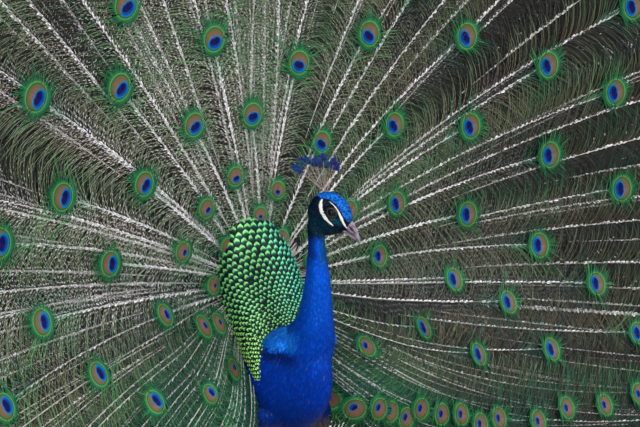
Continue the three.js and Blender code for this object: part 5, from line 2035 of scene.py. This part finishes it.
@dataclass
class Down:
    """Soft brown down on a round core: under the tail, and over the roots of the train."""

    name: str = "vent"
    middle: tuple[float, float, float] = (0.0, 124.0, 322.0)
    half: tuple[float, float, float] = (50.0, 47.0, 64.0)
    tufts: int = 2600
    node: str = "vent"

    def build(self) -> list[bpy.types.Object]:
        """Builds a core and its tufts."""
        rng = np.random.default_rng(61)
        k = np.arange(self.tufts) + 0.5
        up = 1 - 2 * k / self.tufts
        turn = np.pi * (1 + 5**0.5) * k
        ball = np.stack([np.cos(turn) * np.sqrt(1 - up**2), np.sin(turn) * np.sqrt(1 - up**2), up], -1)
        inner = np.array(self.half) - 12
        roots = np.array(self.middle) + ball * inner
        normals = unit(ball / inner)
        ways = unit(np.array([0.0, 0.35, -1.0]) + 0.5 * normals + rng.normal(0, 0.3, ball.shape))
        length = rng.uniform(20, 30, self.tufts)
        leaf = Leaf(rows=(0.0, 0.4, 0.75), widths=(0.5, 1.0, 0.8), dome=0.2)
        points, lie = leaf.lay(roots, normals, ways, length, rng.uniform(3.5, 6, self.tufts), rng.uniform(3, 9, self.tufts), 1.0)
        chart = np.stack([turn % (2 * np.pi) / 7, 0.02 + 0.95 * k / self.tufts], -1)[:, None] + 0.003 * lie
        shade = blend(rgb(60, 50, 42), rgb(126, 112, 96), rng.random(self.tufts) ** 1.5)
        batch, shape = Batch(), points.shape[:2]
        batch.add(
            points, *leaf.faces(), {"Lie": lie, "OFBake": chart},
            {"chance": np.broadcast_to(rng.random(self.tufts)[:, None], shape)},
            {"tone": np.broadcast_to(shade[:, None], (*shape, 3))},
        )
        tufts = batch.make(f"{self.name}_down", CoatFinish(f"{self.name}_tuft", 0.0, 0.7, 0.2, **BROWN_TINTS).make())
        bm = bmesh.new()
        bmesh.ops.create_uvsphere(
            bm, u_segments=32, v_segments=20, radius=1.0,
            matrix=Matrix.Translation(self.middle) @ Matrix.Diagonal((*(inner - 2), 1)),
        )
        f = Finish(f"{self.name}_core")
        colour = f.mix(f.noise(200, 3), rgb(36, 30, 26), rgb(70, 60, 50))
        core = finish_mesh(bm, f"{self.name}_core", f.dress({"Base Color": colour, "Roughness": 0.9}))
        if self.node:
            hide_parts(self.node)
        for piece in (tufts, core):
            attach(piece, "root")
        LOG.info("%s: %d triangles", tufts.name, batch.triangles())
        return [tufts, core]


@dataclass
class Leg:
    """One scaly leg with its spur, toes and claws."""

    side: float
    shank: tuple[tuple[float, ...], ...] = (
        (53, 31, 172, 5.6, 6.4), (53, 31, 158, 6, 7.4), (53, 30, 148, 7.4, 8.8), (53, 27, 136, 6, 7),
        (53.5, 19, 98, 5, 6), (54, 9, 52, 5.2, 6.2), (54, 2, 22, 6.6, 7.6), (54, 0, 12, 6.4, 7.4), (54, -1, 5.6, 5, 6),
    )
    foot: tuple[float, float] = (54.0, -2.0)
    toes: tuple[tuple[float, ...], ...] = ((2, 76, 6.2), (-27, 56, 5.6), (30, 60, 5.6), (172, 26, 4.4))
    claw: float = 16.0

    def toe(self, bm: bmesh.types.BMesh, turn: float, length: float, half: float) -> tuple[Array, Array]:
        """Lofts one toe with joint pads.

        Args:
            bm: the foot's mesh.
            turn: heading from straight ahead, in degrees, outwards positive.
            length: from the foot's middle to the claw.
            half: half width at the root.

        Returns:
            The toe's end and its heading.
        """
        a = math.radians(turn)
        way = np.array([math.sin(a) * self.side, -math.cos(a), 0.0])
        across = np.cross(way, np.array([0.0, 0.0, 1.0]))
        rings = []
        for t in np.linspace(-0.06, 1, 34):
            swell = 1 + 0.10 * math.cos(t * 2 * math.pi * 3) + 0.035 * math.cos(t * length * 1.7)
            wide = half * (1 - 0.38 * max(t, 0)) * swell
            high = wide * 0.84
            rise = high + 0.2 + 6.5 * (1 - float(smooth(t / 0.24))) + 1.0 * math.sin(math.pi * max(t, 0))
            if t > 0.93:
                wide, high = wide * 0.8, high * 0.8
            centre = np.array([self.foot[0] * self.side, self.foot[1], 0]) + way * length * t + np.array([0, 0, rise])
            rings.append(section(centre, across, np.array([0.0, 0.0, 1.0]), wide, high))
        ring_loft(bm, rings, 20)
        return np.array([self.foot[0] * self.side, self.foot[1], 0.7 * half * 0.62]) + way * length * 0.96, way

    def hook(self, bm: bmesh.types.BMesh, start: Array, way: Array, size: float, thick: float) -> None:
        """Lofts one curved claw or spur down from its root."""
        rings = []
        for t in np.linspace(0, 1, 12):
            bend = 0.95 * t
            centre = start + way * size * math.sin(bend) + np.array([0, 0, 1.0]) * (1.6 - 3.4 * t**1.6) * thick / 2.6
            across = unit(np.cross(way, np.array([0.0, 0.0, 1.0])))
            width = max(thick * (1 - t) ** 0.75, 0.16)
            centre[2] = max(centre[2], width + 0.1)
            rings.append(section(centre, across, np.array([0.0, 0.0, 1.0]), width, width))
        ring_loft(bm, rings, 12)

    def build(self) -> list[bpy.types.Object]:
        """Builds the leg and the claws."""
        word = "left" if self.side > 0 else "right"
        bm, nails = bmesh.new(), bmesh.new()
        rings = []
        steps = 150
        table = along(self.shank, np.linspace(0, 1, steps)) * np.array([self.side, 1, 1, 1, 1])
        ways = unit(np.gradient(table[:, :3], axis=0))
        for row, way in zip(table, ways):
            side = unit(np.cross(way, np.array([0.0, 1.0, 0.0])))
            plate = 0.28 * abs(math.sin(math.pi * row[2] / 5.2)) ** 0.5
            rings.append(section(row[:3], side, np.cross(side, way), row[3] + plate - 0.2, row[4] + plate - 0.2))
        ring_loft(bm, rings, 28)
        for turn, length, half in self.toes:
            end, way = self.toe(bm, turn, length, half)
            self.hook(nails, end, way, self.claw, 2.6)
        spur = []
        start, end = np.array([51.0 * self.side, 17, 76]), np.array([35.0 * self.side, 29, 82])
        for t in np.linspace(0, 1, 14):
            way = unit(end - start)
            side = unit(np.cross(way, np.array([0.0, 0.0, 1.0])))
            centre = start + (end - start) * t + np.array([0, 0, 3.0 * t * t])
            spur.append(section(centre, side, np.cross(side, way), 4.4 * (1 - t) ** 0.7 + 0.2, 4.4 * (1 - t) ** 0.7 + 0.2))
        ring_loft(nails, spur, 16)
        f = Finish(f"leg_scutes_{word}")
        x, y, z = f.place()
        bands = ((z * 1208).wave() * 0.5 + 0.5).step(0.0, 0.3)
        cells = Value(f, f.node("ShaderNodeTexVoronoi", {"feature": "DISTANCE_TO_EDGE"}, {"Vector": f.where(), "Scale": 330.0}).outputs[0])
        crack = cells.step(0.10, 0.0)
        colour = f.mix(f.noise(120, 4).step(0.35, 0.7), rgb(128, 116, 104), rgb(86, 76, 70))
        colour = f.mix(crack * 0.6, colour, rgb(52, 44, 40))
        colour = f.mix((1.0 - bands) * 0.3, colour, rgb(56, 48, 44))
        f.bump(cells.step(0.0, 0.12) + bands * 0.6, 0.5, 0.0009)
        scutes = f.dress({"Base Color": colour, "Roughness": 0.5})
        claw_horn = HornFinish(f"claw_horn_{word}", rgb(70, 62, 58), rgb(34, 30, 28)).make()
        leg = finish_mesh(bm, f"leg_{word}", scutes)
        claws = finish_mesh(nails, f"claws_{word}", claw_horn)
        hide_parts(f"shank_{word}", f"foot_{word}")
        for piece in (leg, claws):
            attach(piece, "root")
            LOG.info("%s: %d faces", piece.name, len(piece.data.polygons))
        return [leg, claws]


# ---------------------------------------------------------------- studio
@dataclass
class Studio:
    """Floor, soft lights and camera."""

    camera_place: tuple[float, float, float] = (-1.120, -1.8708, 0.903)
    camera_side: tuple[float, float, float] = (0.8480, -0.5299, 0.0)
    camera_top: tuple[float, float, float] = (0.0738, 0.1180, 0.9902)
    camera_back: tuple[float, float, float] = (-0.5248, -0.8398, 0.1392)
    lens: float = 80.86
    floor_size: float = 80.0

    def light(self, name: str, place: tuple[float, float, float], aim: tuple[float, float, float], size: float, power: float) -> None:
        """Adds one square soft light that looks at a point."""
        lamp = bpy.data.lights.new(name, "AREA")
        lamp.energy = power
        lamp.size = size
        made = bpy.data.objects.new(name, lamp)
        made.location = place
        made.rotation_euler = (Vector(aim) - Vector(place)).to_track_quat("-Z", "Y").to_euler()
        bpy.context.scene.collection.objects.link(made)

    def build(self) -> None:
        """Puts up the studio."""
        scene = bpy.context.scene
        bm = bmesh.new()
        bmesh.ops.create_grid(bm, x_segments=2, y_segments=2, size=0.5 * self.floor_size * 1000)
        finish = Finish("studio_floor")
        tint = finish.mix(finish.noise(1.6, 2) * 0.3, rgb(206, 202, 194), rgb(196, 192, 184))
        floor = finish_mesh(bm, "studio_floor", finish.dress({"Base Color": tint, "Roughness": 0.9}), soft=False)
        floor.data.transform(Matrix.Translation((0, 0, -0.0005)))
        world = bpy.data.worlds.new("studio_air")
        world.use_nodes = True
        world.node_tree.nodes["Background"].inputs[0].default_value = (*rgb(205, 208, 212), 1.0)
        world.node_tree.nodes["Background"].inputs[1].default_value = 0.95
        scene.world = world
        self.light("key", (-2.6, -3.0, 3.4), (0.0, 0.0, 0.7), 3.2, 160)
        self.light("fill", (2.8, -2.6, 2.2), (0.0, 0.0, 0.7), 3.2, 75)
        self.light("rear", (0.6, 3.2, 2.8), (0.0, 0.1, 0.8), 2.5, 110)
        camera = bpy.data.cameras.new("camera")
        camera.sensor_width = 36.0
        camera.sensor_fit = "HORIZONTAL"
        camera.lens = self.lens
        made = bpy.data.objects.new("camera", camera)
        axes = Matrix((self.camera_side, self.camera_top, self.camera_back)).transposed().to_4x4()
        made.matrix_world = Matrix.Translation(self.camera_place) @ axes
        scene.collection.objects.link(made)
        scene.camera = made
        scene.view_settings.view_transform = "Standard"


def main() -> None:
    """Builds the bird and the studio and reports each piece."""
    logging.basicConfig(level=logging.INFO, format="%(message)s")
    fan = Fan()
    Body().build()
    Train(fan, TrainPlan(fan).draw()).build()
    Tail(fan).build()
    Down().build()
    Down("rump", (0.0, 92.0, 466.0), (52.0, 30.0, 52.0), 1200, "").build()
    for side in (-1.0, 1.0):
        Wing(side).build()
        Leg(side).build()
    Studio().build()


if __name__ == "__main__":
    main()
